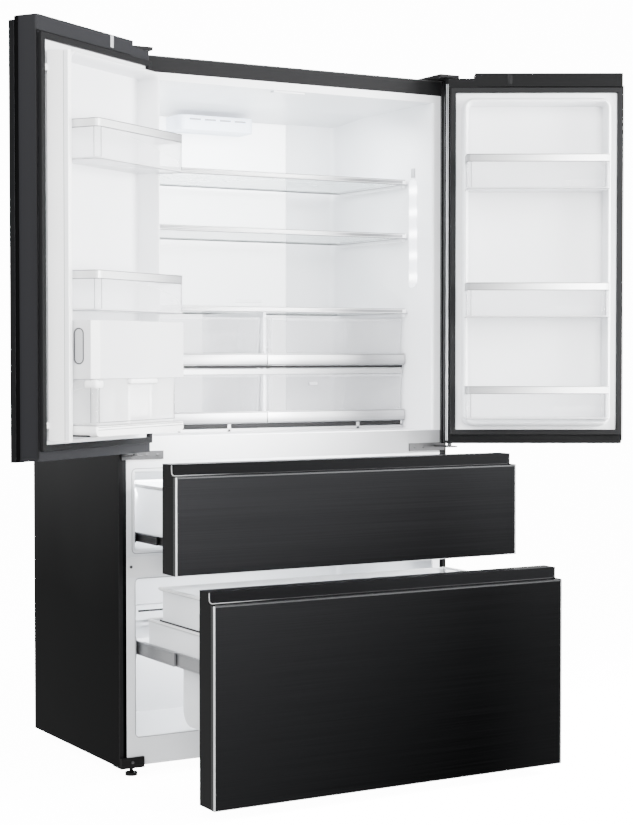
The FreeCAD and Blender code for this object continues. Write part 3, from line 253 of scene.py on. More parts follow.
# %% [markdown]
# ## Shader maths
#
# A finish is a Principled shader with small node sums in front of it. Wrapping a socket in a class with
# operators lets a sum be written as Python. Patterns read Object coordinates, which are the refrigerator's own
# metres, so a brush line or a grain has its real size on each piece.

# %% Sockets in sums, and one method for all other nodes
class Wire:
    """A socket that can stand in a sum."""

    def __init__(self, finish, socket):
        self.finish = finish
        self.socket = socket

    def maths(self, operation, second=0.0):
        return self.finish.node("ShaderNodeMath", {"operation": operation}, {0: self, 1: second})

    def __add__(self, other):
        return self.maths("ADD", other)

    def __sub__(self, other):
        return self.maths("SUBTRACT", other)

    def __mul__(self, other):
        return self.maths("MULTIPLY", other)

    def __pow__(self, other):
        return self.maths("POWER", other)

    def wave(self):
        """A cosine between 0 and 1."""
        return self.maths("COSINE") * 0.5 + 0.5


class Finish:
    """One material, named for what it is, with the record's slot that it belongs to."""

    def __init__(self, name, slot, colour, roughness, metallic=0.0, **fixed):
        self.slot = slot
        self.material = bpy.data.materials.new(name)
        self.material.use_nodes = True
        self.tree = self.material.node_tree
        self.shader = self.tree.nodes["Principled BSDF"]
        self.feed({"Base Color": (*colour, 1), "Roughness": roughness, "Metallic": metallic})
        self.feed({word.replace("_", " "): value for word, value in fixed.items()})

    def feed(self, inputs, node=None):
        """Sets or links the inputs of a node, or of the shader."""
        for key, value in inputs.items():
            socket = (node or self.shader).inputs[key]
            if isinstance(value, Wire):
                self.tree.links.new(value.socket, socket)
            else:
                socket.default_value = value

    def node(self, kind, settings=None, inputs=None, output=0):
        made = self.tree.nodes.new(kind)
        for word, value in (settings or {}).items():
            setattr(made, word, value)
        self.feed(inputs or {}, made)
        return Wire(self, made.outputs[output])

    def place(self, stretch=(1, 1, 1), centre=(0, 0, 0)):
        at = self.node("ShaderNodeTexCoord", output="Object")
        moved = {"Location": tuple(-part * by for part, by in zip(centre, stretch)), "Scale": stretch}
        return self.node("ShaderNodeMapping", inputs={"Vector": at, **moved})

    def noise(self, scale, stretch=(1, 1, 1), detail=2.0):
        """Noise with about so many grains to the metre, from 0 to 1."""
        grain = {"Vector": self.place(stretch), "Scale": scale, "Detail": detail}
        return self.node("ShaderNodeTexNoise", inputs=grain)

    def axis(self, letter, centre=(0, 0, 0)):
        return self.node("ShaderNodeSeparateXYZ", inputs={"Vector": self.place(centre=centre)}, output=letter)

    def ramp(self, value, low, high, start=0.0, end=1.0):
        """Goes from start to end while value goes from low to high, and stays there."""
        stops = {"Value": value, "From Min": low, "From Max": high, "To Min": start, "To Max": end}
        return self.node("ShaderNodeMapRange", {"interpolation_type": "SMOOTHSTEP"}, stops)

    def mix(self, share, first, second):
        """A colour between two colours."""
        colours = {0: share, 6: (*first, 1), 7: (*second, 1)}
        return self.node("ShaderNodeMix", {"data_type": "RGBA"}, colours, output=2)

    def bump(self, height, depth, strength=0.4):
        """Feeds Normal from a height, whose full step is depth in metres."""
        relief = {"Height": height, "Distance": depth, "Strength": strength}
        self.feed({"Normal": self.node("ShaderNodeBump", inputs=relief)})
        return self

    def facing(self, blend):
        """0 where a surface is seen straight on, 1 where it is seen edge on."""
        return self.node("ShaderNodeLayerWeight", inputs={"Blend": blend}, output="Facing")


print("finishes can be made")

# %% [markdown]
# ## Dark metals
#
# The fronts are dark stainless steel, brushed along their width. Brush marks are noise that is stretched thin: it
# changes fast with height and slowly sideways. They change the gloss more than the colour. The sheet's cut edge is
# bare and bright, so the edge lines are their own finish, which also paints the highlight along the fronts' edges.

# %% Brushed steel
def brushed_steel():
    """Brushed along the width, with a painted highlight: lighter towards the upper left, where the studio's soft
    light lies on it, and towards the right end.
    """
    steel = Finish("dark_brushed_steel", "front_steel", (0.006, 0.006, 0.0063), 0.34, 1.0)
    lines = steel.noise(1.0, stretch=(2.5, 2.5, 430), detail=3.0)
    across, up = steel.axis("X"), steel.axis("Z")
    # Painted highlight: the base colour rises towards the upper left and towards the right end of the fronts.
    painted_highlight = steel.ramp(up * 0.55 - across * 0.8, -0.3, 0.75)
    edge = steel.ramp(across, 0.2, 0.5, 0.0, 0.3)
    share = painted_highlight * 0.9 + edge + (lines - 0.5) * 0.42
    dark, light = (0.0017, 0.0018, 0.0019), (0.0165, 0.0168, 0.0178)
    steel.feed({"Base Color": steel.mix(share, dark, light), "Roughness": lines * 0.08 + 0.3})
    return steel.bump(lines, 0.01 * mm, 0.25)


# %% Paint and moulded plastic
def shade_graded(name, slot, here, there, axis, low, high, roughness, level, metallic=0.0):
    """Dark plastic or paint whose base colour goes from one tone to another along an axis: painted light and
    shade, as soft light falls off.
    """
    finish = Finish(name, slot, here, roughness, metallic, Specular_IOR_Level=level)
    share = finish.ramp(finish.axis(axis), low, high) + (finish.noise(2.5) - 0.5) * 0.2
    finish.feed({"Base Color": finish.mix(share, here, there)})
    return finish.bump(finish.noise(900), 0.02 * mm)


def grained(name, slot, colour, roughness, depth=0.05 * mm, scale=900, metallic=0.0, **fixed):
    """Paint or moulded plastic with a fine grain and a slow change of tone."""
    finish = Finish(name, slot, colour, roughness, metallic, **fixed)
    cloud = finish.noise(2.5)
    shade = tuple(part * 0.93 for part in colour)
    finish.feed({
        "Base Color": finish.mix(finish.ramp(cloud, 0.35, 0.65), shade, colour),
        "Roughness": cloud * 0.08 + (roughness - 0.04),
    })
    return finish.bump(finish.noise(scale), depth)


dim, faint = {"Specular_IOR_Level": 0.13}, {"Specular_IOR_Level": 0.03}
dark_steel = brushed_steel()
# Edge lines: bare sheet where it is cut, and in part a painted highlight along the edges of the fronts.
bright_edge = grained("bright_cut_edge", "front_steel", (0.62, 0.63, 0.64), 0.3, 0.01 * mm, 600, 0.9)
dull_edge = grained("rolled_top_edge", "front_steel", (0.06, 0.061, 0.063), 0.35, 0.01 * mm, 600, 0.9)
# Painted highlight: the cap's cut edge is bright only at the cabinet's left end and dark elsewhere.
cap_edge = shade_graded("cap_cut_edge", "front_steel", (0.3, 0.302, 0.307), (0.02, 0.02, 0.021), "X", -0.5, -0.3,
                 roughness=0.35, level=0.3, metallic=0.7)
# Painted shade: the shell and its back panel are darker towards the foot and lighter towards the top.
shell_paint = shade_graded("dark_shell_paint", "shell_paint", (0.0007, 0.0008, 0.0009), (0.034, 0.0343, 0.0355),
                    "Z", 0.38, 1.2, roughness=0.42, level=0.012)
# Painted sheen: a dark grey a little lighter than the shell's foot, for the light lines on the shell's front lips,
# the casing's rib and the doors' pan edges. The same grey is painted shade on the fold under the roof and the
# plain colour of the right door's clip.
lip_paint = grained("shell_lip_sheen", "shell_paint", (0.0085, 0.0086, 0.009), 0.4, 0.02 * mm, 500,
                    Specular_IOR_Level=0.06)
# Painted highlight and shade: the door casings are lighter towards the left and darker towards the right.
casing = shade_graded("door_casing_plastic", "door_casing", (0.0122, 0.0124, 0.0138), (0.0018, 0.0019, 0.0021),
               "X", -0.62, 0.2, roughness=0.46, level=0.07)
cap_black = grained("cap_black", "door_casing", (0.0034, 0.0035, 0.0038), 0.36, 0.02 * mm, 1400, **faint)
# Painted shade: near-black strips in the casing's grooves and in the gap behind each door's pan.
groove_black = grained("casing_groove", "door_casing", (0.0008, 0.0008, 0.0009), 0.7, 0.02 * mm, **faint)
seal_black = grained("seal_rubber", "dark_seal", (0.0045, 0.0046, 0.005), 0.55, 0.03 * mm, 1200, **dim)
print("dark finishes", len(bpy.data.materials))

# %% [markdown]
# ## White and clear plastics
#
# The tubs are vacuum-formed white sheet, a little glossy. The bins are clear: their walls show at the rims,
# where light runs along them, so the shader is nearly see-through face on and whiter edge on. Alpha does this
# on thin walls without the cost of refraction.

# %% Whites and greys
white_liner = grained("white_liner", "liner_plastic", (0.80, 0.81, 0.83), 0.32, 0.02 * mm, 700, Coat_Weight=0.15)
freezer_white = grained("freezer_liner", "freezer_plastic", (0.74, 0.755, 0.775), 0.36, 0.02 * mm, 700,
                        Coat_Weight=0.1)
white_trim = grained("white_trim", "trim_plastic", (0.93, 0.932, 0.935), 0.3, 0.01 * mm, Coat_Weight=0.2)
grey_trim = grained("grey_trim", "trim_plastic", (0.33, 0.335, 0.345), 0.4, 0.01 * mm)
shelf_grey = grained("shelf_edge_grey", "trim_plastic", (0.17, 0.173, 0.18), 0.35, 0.01 * mm)
rail_line = grained("rail_edge_line", "trim_plastic", (0.09, 0.092, 0.098), 0.35, 0.01 * mm)
ice_grey = grained("ice_box_grey", "ice_casing", (0.66, 0.665, 0.68), 0.5, 0.02 * mm, 1200)
grip_rim = grained("grip_rim_grey", "ice_casing", (0.06, 0.06, 0.065), 0.35)
grip_well = grained("grip_well_grey", "ice_casing", (0.42, 0.425, 0.44), 0.45)
ring_grey = grained("opening_line", "liner_paint", (0.24, 0.243, 0.25), 0.5)
# Painted shade: the crossbars and the crisper ledges are light grey at the left and darker grey towards the right.
bar_grey = shade_graded("crossbar_paint", "liner_paint", (0.72, 0.725, 0.735), (0.26, 0.263, 0.27), "X", -0.45, 0.35,
                 roughness=0.38, level=0.5)
dark_gap = grained("shadow_gap", "dark_plastic", (0.012, 0.012, 0.0125), 0.6, **dim)
print("with whites and greys", len(bpy.data.materials))


# %% Clear plastics and glass
def clear(name, slot, colour, seen, rim, roughness):
    """Thin clear sheet: seen and rim are how solid it looks face on and edge on."""
    finish = Finish(name, slot, colour, roughness)
    cloud = finish.noise(14, detail=1.0)
    finish.feed({
        "Base Color": finish.mix(cloud, tuple(part * 0.95 for part in colour), colour),
        "Alpha": finish.ramp(finish.facing(0.35), 0.05, 0.95, seen, rim),
        "Roughness": cloud * 0.06 + roughness,
    })
    return finish


clear_plastic = clear("clear_bin_plastic", "clear_plastic", (0.80, 0.81, 0.84), 0.12, 0.66, 0.1)
tank_plastic = clear("clear_tank_plastic", "clear_plastic", (0.96, 0.965, 0.97), 0.2, 0.75, 0.1)
bin_edge = clear("clear_bin_edge", "clear_plastic", (0.14, 0.145, 0.155), 0.6, 0.8, 0.3)
foot_band = clear("frosted_foot_band", "clear_plastic", (0.86, 0.865, 0.88), 0.3, 0.85, 0.3)
basket_plastic = clear("frosted_basket_plastic", "basket_plastic", (0.86, 0.88, 0.90), 0.4, 0.9, 0.2)
basket_rim = clear("basket_rim", "basket_plastic", (0.93, 0.94, 0.95), 0.75, 0.95, 0.2)
glass = clear("shelf_glass", "shelf_glass", (0.80, 0.87, 0.87), 0.16, 0.72, 0.06)


# %% Silver rails on the bins, with a painted reflection from side to side
def painted_silver_sheen(name, low, high, foot=None, height=1.0):
    """Metal-look plastic with a painted reflection: bright in the middle of the cabinet, greyer towards its sides,
    and, where a foot is given, in painted shade towards its foot.
    """
    finish = Finish(name, "trim_plastic", high, 0.28, 0.35)
    share = (finish.axis("X") * 9.0).wave() * 0.8 + finish.noise(700, stretch=(0.02, 0.02, 1), detail=1.0) * 0.2
    if foot is not None:
        above = finish.axis("Z", centre=(0, 0, foot))
        share = share * finish.ramp(above, 0.1 * height, 0.65 * height, 0.22, 1.0)
    finish.feed({"Base Color": finish.mix(share, low, high)})
    return finish


bar_depth, bar_height = 14, 32
silver_rail = painted_silver_sheen("silver_bin_rail", (0.13, 0.133, 0.14), (0.86, 0.865, 0.87))
dull, shiny = (0.2, 0.203, 0.21), (0.92, 0.925, 0.93)
tier_silver = {
    tier: painted_silver_sheen(f"{level}_bar_silver", dull, shiny, span(f"left_{tier}").z0, bar_height * mm)
    for level, tier in (("upper", "crisper"), ("lower", "chill_drawer"))
}
print("silver for bins' rails and for", list(tier_silver))

# %% [markdown]
# ## Lamps and metals
#
# The lamp strips are milky lenses with a row of diodes behind them, so the light is a row of soft spots. A
# cosine along the strip, raised to a power, gives the row. The slides and the sheets at the foot are bare.

# %% Lit lenses
lamp, diode_count = span("side_lamps"), 5
lamp_lens = Finish("diode_lens", "lamp_lens", (0.95, 0.96, 1.0), 0.3)
along_strip = lamp_lens.axis("Z", centre=(0, 0, lamp.z0)) * (2 * pi * diode_count / (lamp.z1 - lamp.z0))
spots = (along_strip + pi).wave() ** 3.0
lamp_lens.feed({"Emission Color": lamp_lens.mix(spots, (0.12, 0.122, 0.13), (1, 1, 1)), "Emission Strength": 6.0})
light_box = Finish("light_box_lens", "trim_plastic", (0.78, 0.83, 0.92), 0.3)
light_box.feed({
    "Emission Color": light_box.mix(light_box.noise(9, detail=1.0), (0.55, 0.62, 0.80), (0.75, 0.82, 0.95)),
    "Emission Strength": 0.35,
})
# Painted light: the duct panel is given a glow that grows towards its top.
duct_white_painted_glow = Finish("duct_white_painted_glow", "liner_plastic", (0.86, 0.865, 0.88), 0.3)
duct_white_painted_glow.feed({
    "Base Color": duct_white_painted_glow.mix(duct_white_painted_glow.noise(2.5), (0.84, 0.845, 0.86), (0.88, 0.885, 0.895)),
    "Emission Color": duct_white_painted_glow.mix(duct_white_painted_glow.ramp(duct_white_painted_glow.axis("Z"), 1.0, 1.75), (0.5, 0.5, 0.5), (1, 1, 1)),
    "Emission Strength": 2.3,
})


# %% Bare metals and the parts that hide behind
def brushed(name, slot, colour, roughness, metallic=0.9, stretch=(8, 500, 500)):
    finish = Finish(name, slot, colour, roughness, metallic)
    lines = finish.noise(1.0, stretch=stretch)
    dark = tuple(part * 0.8 for part in colour)
    finish.feed({"Base Color": finish.mix(lines, dark, colour), "Roughness": lines * 0.15 + (roughness - 0.07)})
    return finish.bump(lines, 0.02 * mm)


lengthwise = (500, 8, 500)
hinge_metal = brushed("hinge_plate_metal", "hinge_metal", (0.1, 0.1, 0.103), 0.36)
rail_dark = brushed("oiled_rail", "rail_steel", (0.03, 0.03, 0.031), 0.34, stretch=lengthwise)
rail_metal = brushed("galvanised_rail", "rail_steel", (0.33, 0.335, 0.345), 0.34, stretch=lengthwise)
base_metal = brushed("galvanised_base", "base_metal", (0.22, 0.22, 0.22), 0.5, 0.6, (30, 30, 30))
coil_metal = brushed("coil_aluminium", "coil_metal", (0.72, 0.73, 0.74), 0.36)
foam = grained("insulation_foam", "insulation", (0.72, 0.62, 0.36), 0.9, 0.6 * mm, 260)
cover_black = grained("cover_plastic", "dark_plastic", (0.005, 0.005, 0.0053), 0.45, 0.03 * mm, **dim)
foot_black = grained("foot_plastic", "foot_plastic", (0.004, 0.004, 0.0042), 0.5, 0.03 * mm, **dim)
fan_grey = grained("fan_plastic", "fan_plastic", (0.05, 0.05, 0.055), 0.45)
pump_black = grained("compressor_enamel", "compressor_paint", (0.012, 0.012, 0.012), 0.3, 0.05 * mm, 300)
print("finishes", len(bpy.data.materials))

# %% [markdown]
# ## Cabinet
#
# The shell is folded steel. Its front edges are folded in, and the fold's outer face catches a lighter line,
# so a thin lip runs up each side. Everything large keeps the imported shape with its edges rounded.

# %% Shell, bars and tubs
eased("outer_shell", shell_paint, 1.2, 3)
eased("crossbars", bar_grey, 1.5)
eased("back_panel", shell_paint)
eased("base_plate", base_metal, 0.4)
eased("cabinet_insulation", foam)
eased("rear_cover", base_metal, 0.4)
eased("fridge_liner", white_liner, 2, 3)
eased("upper_freezer_liner", freezer_white, 1.5)
eased("lower_freezer_liner", freezer_white, 1.5)

# %% Lips down the sides in a painted sheen, a sheet of painted shade over the fold above the fridge's rim, and the white strip at the foot
blocks("shell_lips", lip_paint, "cabinet", [
    (side, near(front, -0.6, 0.6), cabinet.z, 0.3) for side in ends(cabinet.x, 11)
])
blocks("shell_top_fold_shade", lip_paint, "cabinet", [
    (within(cabinet.x, 2), near(front, -0.1, 1), (room.z1 + 0.5 * mm, cabinet.z1 - 3 * mm), 0.05, 1),
])
blocks("front_apron", freezer_white, "cabinet", [
    (within(cabinet.x, 4), near(front, 0.6, 2.1), near(cabinet.z0, 1.5, 14), 0.5),
])

# %% A line round each freezer opening, where the tub's rim turns in
for tier in ("upper", "lower"):
    face = [vert.co for vert in packed[f"{tier}_freezer_liner"].data.vertices if vert.co.y < front + 0.1 * mm]
    half = min(abs(co.x) for co in face)
    levels = [co.z for co in face if abs(co.x) < half + mm]
    opening = min(levels), max(levels)
    print(tier, "opening", round(half, 3), [round(level, 3) for level in opening])
    mesh = block(bmesh.new(), within((-half, half), -4), near(front, -0.1, 1), within(opening, -4))
    bevel(mesh, along(mesh, 1), 13, 6)
    piece(f"{tier}_opening_ring", front_ring(mesh, 2), ring_grey, "cabinet", wall=0.2)

# %% The ceiling falls a little towards the back, under its corner cove
skin, fall = 2.5, 30
top = room.z1 - skin * mm
mesh = block(bmesh.new(), within(room.x, skin), (front + 34 * mm, room.y1 - skin * mm), near(top, -fall, 0))
low_front = [vert for vert in mesh.verts if vert.co.z < top - mm and vert.co.y < 0]
bmesh.ops.translate(mesh, vec=(0, 0, (fall - 0.5) * mm), verts=low_front)
bevel(mesh, along(mesh, 0, lambda co: co.z < top - 0.25 * mm)[:1], 4, 3)
piece("ceiling_cove", mesh, white_liner, "cabinet")

# %% [markdown]
# ## Hinges and screws
#
# The roof hinge hides under a moulded cover with a screw plug and a rib. The middle bracket is a stamped plate
# with countersunk screws, whose domed heads have a cross cut in them.

# %% Hinges
eased("top_hinges", hinge_metal)
eased("middle_hinges", hinge_metal, 1.2, 3)
eased("top_hinge_covers", cover_black, 2, 3)

box, mesh = span("top_hinge_covers"), bmesh.new()
for x in within(box.x, 40):
    y = box.y0 + 60 * mm
    rod(mesh, (x, y, box.z1 - mm), (x, y, box.z1 - 0.1 * mm), 9, 8.1, 32)
    block(mesh, near(x, -22, 22), near(box.y0, 95, 101), near(box.z1, -1, 0), 0.25)
piece("hinge_cover_plugs", mesh, cap_black, "cabinet")

# %% Screw heads in place of the plain discs
mesh = bmesh.new()
for head in islands("cabinet_screws"):
    x, z, neck, radius = sum(head.x) / 2, sum(head.z) / 2, head.y0 + 0.5 * mm, (head.x1 - head.x0) / 2 / mm
    rod(mesh, (x, head.y1, z), (x, neck, z), radius)
    rod(mesh, (x, neck, z), (x, head.y0, z), radius, radius * 0.7)
    for wide, tall in ((0.55 * radius, 0.12 * radius), (0.12 * radius, 0.55 * radius)):
        block(mesh, near(x, -wide, wide), near(head.y0, -0.05, 0.25), near(z, -tall, tall))
piece("screw_heads", mesh, hinge_metal, "cabinet", "cabinet_screws")

# %% [markdown]
# ## Inside the fridge
#
# Cold air comes out of a flat duct panel on the back wall. The box under the ceiling has a milky lens with
# rounded edges and air slots in its face. The lamp strips have a cap above them, and a small scale stands on the
# right wall below.

# %% The duct, with a white slat in each air slot, so that no dark hole shows
eased("air_duct_panel", duct_white_painted_glow, 1.2)
box, slot_x = span("air_duct_panel"), 150 * mm
face = [vert.co for vert in packed["air_duct_panel"].data.vertices if vert.co.y < box.y0 + 0.1 * mm]
rows = sorted({
    round(co.z, 4) for co in face if abs(abs(co.x) - slot_x) < 46 * mm and box.z0 + mm < co.z < box.z1 - mm
})
print("duct slots at", rows)
blocks("duct_louvres", duct_white_painted_glow, "cabinet", [
    (near(x, -45, 45), near(box.y0, 1.5, 4), near(low + share * (high - low), 0, 3.5), 1 / 3)
    for low, high in zip(rows[::2], rows[1::2]) for x in (-slot_x, slot_x) for share in (0.2, 0.65)
])

# %% The light box with four narrow outlets across its front
box, slots, margin, gap = span("air_module"), 4, 30 * mm, 12 * mm
mesh = block(bmesh.new(), box.x, box.y, box.z)
bevel(mesh, along(mesh, 2, lambda co: co.y < box.y0 + mm), 22, 6)
lens = next(face for face in mesh.faces if face.normal.z < -0.9)
inset(mesh, lens, 7, even=False)
inset(mesh, lens, 2, -3, even=False)
piece("light_box", mesh, light_box, "cabinet", "air_module", edge=3, steps=3)
width = (box.x1 - box.x0 - 2 * margin - gap * (slots - 1)) / slots
starts = [box.x0 + margin + slot * (width + gap) for slot in range(slots)]
blocks("light_box_slots", grey_trim, "cabinet", [
    ((x, x + width), near(box.y0, -0.5, 1), near(box.z1, -14, -9), 1 / 3) for x in starts
])

# %% Lamp strips and the sensor cap on the wall above each
mesh = bmesh.new()
for side in ends(lamp.x, 4):
    block(mesh, side, lamp.y, lamp.z)
    bevel(mesh, along(mesh, 0, lambda co: side[0] - mm < co.x < side[1] + mm), 14, 6)
piece("lamp_strips", mesh, lamp_lens, "cabinet", "side_lamps", edge=1.5, steps=3)
blocks("lamp_caps", grey_trim, "cabinet", [
    (side, within(lamp.y, 10, 8), near(lamp.z1, 6, 32), 1) for side in ends(lamp.x, 3)
])

# %% The guard with seven short bars low on the right wall
crisper_top, wall = span("crisper_frame").z1, room.x1 - skin * mm
blocks("wall_guard", white_trim, "cabinet", [
    (near(wall, -2.5, 0), near(front, 62, 88), near(crisper_top, -150, -8), 1),
    *[(near(wall, -3.5, -1), near(front, 67, 83), near(crisper_top, -down - 2, 2 - down), 0.5)
      for down in range(24, 24 + 7 * 18, 18)],
])

# %% [markdown]
# ## Shelves
#
# A shelf is a glass pane in a moulded frame. Its front bar has a flat silver face between two white lips, thin
# dark edges over and under it, and a grey socket round each end, on the wall. The pane's cut edge is greener
# than its face.

# %% Shelf frames and their front bars
frames, faces, edges, sockets = [], [], [], []
for box in islands("shelf_trims"):
    frames += [
        (box.x, near(box.y0, 1.5, 15), box.z, 1.6, 3), (box.x, near(box.y1, -9, 0), within(box.z, 0, 7), 1),
        *[(side, within(box.y, 7.5, 0), within(box.z, 0, 11), 1) for side in ends(box.x, 9)],
    ]
    faces.append((within(box.x, 14), near(box.y0, 0, 4), within(box.z, 3), 0.8))
    edges += [
        *[(within(box.x, 5), near(box.y0, 1, 15), near(z, -0.2, 1.7), 0.2, 1) for z in within(box.z, 0, 1.5)],
        (within(box.x, 1), near(box.y1, -9, -7), near(box.z0, -0.2, 3), 0.2, 1),
        *[(side, within(box.y, 15, 9), near(box.z0, -0.2, 2), 0.2, 1) for side in ends(within(box.x, 9), 2)],
    ]
    sockets += [(side, near(box.y0, 1, 13), near(box.z0, -1, 2.5), 1) for side in ends(within(box.x, -4), 14)]
    print("shelf at", round(box.z1, 3))
blocks("shelf_frames", white_trim, "cabinet", frames, "shelf_trims")
blocks("shelf_faces", silver_rail, "cabinet", faces)
blocks("shelf_edges", shelf_grey, "cabinet", edges)
blocks("shelf_sockets", grey_trim, "cabinet", sockets)
eased("shelf_glass", glass, 0.5)

# %% [markdown]
# ## Crispers
#
# Four clear bins stand in two tiers on a white frame. Each has a broad bar across its front, and its tub is
# drawn in a little towards the floor so that it leaves its mould.

# %% Open bins
def widen(mesh, verts, x, y, more):
    """Moves vertices in plan as if the stretches x and y grew by more at each end."""
    middle = Vector((sum(x) / 2, sum(y) / 2, 0))
    factor = (1 + 2 * more * mm / (x[1] - x[0]), 1 + 2 * more * mm / (y[1] - y[0]), 1)
    bmesh.ops.scale(mesh, vec=factor, space=Matrix.Translation(-middle), verts=verts)


def tub(x, y, z, corner, foot, lean=0):
    """An open box with rounded corners that leans in by lean towards its floor."""
    mesh = block(bmesh.new(), x, y, z)
    delete_faces(mesh, lambda face: face.normal.z > 0.9)
    bevel(mesh, along(mesh, 2), corner, 5)
    floor = next(face for face in mesh.faces if face.normal.z < -0.9)
    bevel(mesh, list(floor.edges), foot, 3)
    if lean:
        widen(mesh, [vert for vert in mesh.verts if vert.co.z < sum(z) / 2], x, y, -lean)
    return mesh


def rim(mesh, x, y, width, depth=0):
    """Folds the top edge of an open bin outwards by width and down by depth."""
    open_edges = [line for line in mesh.edges if line.is_boundary]
    grown = bmesh.ops.extrude_edge_only(mesh, edges=open_edges)["geom"]
    verts = [part for part in grown if isinstance(part, bmesh.types.BMVert)]
    widen(mesh, verts, x, y, width)
    bmesh.ops.translate(mesh, vec=(0, 0, -depth * mm), verts=verts)


# %% Four bins, each with its bar, the bar's lines, a clear post at its free side and a lip behind the bar
eased("crisper_frame", white_liner, 1.5)
for node in ("left_crisper", "right_crisper", "left_chill_drawer", "right_chill_drawer"):
    side, tier = node.split("_", 1)
    body, box = packed[node]["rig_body"], span(node)
    inner = within(box.x, 0, 13) if side == "left" else within(box.x, 13, 0)
    depth = within(box.y, bar_depth, 0)
    mesh = tub(inner, depth, box.z, 8, 6, 3)
    rim(mesh, inner, depth, -1.5)
    piece(f"{node}_tub", mesh, clear_plastic, body, node, wall=2.2)
    blocks(f"{node}_bar", tier_silver[tier], body, [
        (box.x, near(box.y0, 0, bar_depth), near(box.z0, 0, bar_height), 2.5, 3),
    ])
    blocks(f"{node}_bar_lines", rail_line, body, [
        (within(box.x, 2), near(box.y0, -0.2, 2), near(box.z0, foot, foot + 2), 0.2, 1)
        for foot in (1, bar_height - 3.5)
    ])
    blocks(f"{node}_post", clear_plastic, body, [(
        ends(box.x, 14)[side == "left"], near(box.y0, 1, bar_depth), within(box.z, bar_height - 1, 0), 2, 3,
    )])
    blocks(f"{node}_lip", clear_plastic, body, [
        (within(inner, 3), near(box.y0, 8, bar_depth), near(box.z1, -7, 0), 1.5),
    ])
eased("humidity_slider", grey_trim, 1)

# %% Painted shadow under the bins' bars as dark strips, and the grey ledges with their supports below them, whose grey darkens to the right as painted shade
box, upper, lower = span("crisper_frame"), span("left_crisper"), span("left_chill_drawer")
blocks("tier_shadow_gaps", dark_gap, "cabinet", [
    (box.x, near(box.y0, -3, 2), near(upper.z0, -8, -1), 1),
    (within(box.x, 6), near(box.y0, -4, 4), near(lower.z0, -13, -1), 1),
])
supports = [box.x0 + share * (box.x1 - box.x0) for share in (0.2, 0.37, 0.83)]
blocks("tier_ledges", bar_grey, "cabinet", [
    (within(box.x, 1), near(box.y0, -4, 1), (lower.z1 + mm, upper.z0 - 10 * mm), 1.5, 3),
    (within(box.x, 2), near(box.y0, -6, 1), (box.z0 - mm, lower.z0 - 14 * mm), 1.5, 3),
    *[(near(x, -5, 5), near(box.y0, -6, 1), (box.z0 - mm, lower.z0 - 2 * mm), 1) for x in supports],
])

# %% [markdown]
# ## Doors
#
# Each door is a steel pan over a foam core. The pan is dark where it is brushed, and a line of painted sheen runs
# along its cut edges. The core's inner corners are rounded, and a fine dark groove of painted shade runs where
# casing and pan meet. All that is added to it is drawn shut and swung out by the hinge's matrix.

# %% Steel pans, cores and seals
sides = ("left", "right")
for side in sides:
    eased(f"{side}_door_panel", dark_steel, 1.2, 3)
    eased(f"{side}_door_body", casing, 2, 3)
    eased(f"{side}_door_gasket", seal_black, 2.5, 3)


# %% Lines, grooves and clips on the doors
def casing_lines(side):
    """A dark groove line with a lighter rib round the casing's inner face, outside the seal, and a dark strip
    behind the pan: the dark strips are painted shade in groove and gap, the rib a painted sheen.
    """
    door = f"{side}_door"
    core, pan, seal = span(f"{door}_body"), span(f"{door}_panel"), span(f"{door}_gasket")
    if side == "left":
        way, free, hinge, seal_edge = mm, core.x1, core.x0, seal.x1
    else:
        way, free, hinge, seal_edge = -mm, core.x0, core.x1, seal.x0
    y = near(core.y1, -1, 0.6)
    for name, finish, gap, wide in (("groove", groove_black, 2, 1.6), ("rib", lip_paint, 4.4, 1.2)):
        edge, top = seal_edge + way * gap, near(seal.z1, gap, gap + wide)
        blocks(f"{side}_casing_{name}", finish, door, [
            (sorted((edge, edge + way * wide)), y, (core.z0 + 10 * mm, top[1]), 0.2, 1),
            (sorted((edge, hinge + way * 100)), y, top, 0.2, 1),
        ])
    blocks(f"{side}_casing_recess", groove_black, door, [
        (sorted((free - way * 2, free + way * 0.5)), near(pan.y1, -0.5, 9), within(core.z, 1, 2), 0.25, 1),
    ])


sheet = 1.6
for side, clip_finish in (("left", grey_trim), ("right", lip_paint)):
    casing_lines(side)
    pan, core = span(f"{side}_door_panel"), span(f"{side}_door_body")
    depth = near(pan.y0, -0.2, sheet)
    blocks(f"{side}_door_edge_lines", lip_paint, f"{side}_door", [
        (ends(pan.x, sheet)[side == "left"], depth, within(pan.z, 1), 0.3, 1),
        (within(pan.x, 1), depth, near(pan.z0, 0, sheet), 0.3, 1),
    ])
    clip = ends(within(cabinet.x, 178), 13)[side == "right"]
    blocks(f"{side}_door_top_clip", clip_finish, f"{side}_door", [
        (clip, near(core.y1, -2, 1), near(core.z1, -31, -0.5), 0.5),
    ])

# %% A bright metal strip on the slope that the casing has beside the right door's hinge
core, slope = span("right_door_body"), radians(31.4)
crease = Vector((core.x1 - 14.5 * mm, core.y1, 0))
mesh = block(bmesh.new(), near(crease.x, 1, 7.4), near(core.y1, -1, 0.1), within(core.z, 10, 30), 0.05, 1)
bmesh.ops.rotate(mesh, cent=crease, matrix=Matrix.Rotation(-slope, 3, "Z"), verts=mesh.verts)
piece("right_door_hinge_line", mesh, bright_edge, "right_door")

# %% [markdown]
# ## Door liners
#
# The liner is one vacuum-formed sheet: a flat border, a ridge with round shoulders that goes into the cabinet,
# and a shallow pan inside it. One flat face with rounded corners is inset again and again, and each inset moves
# up or down, which is how such a form steps too.

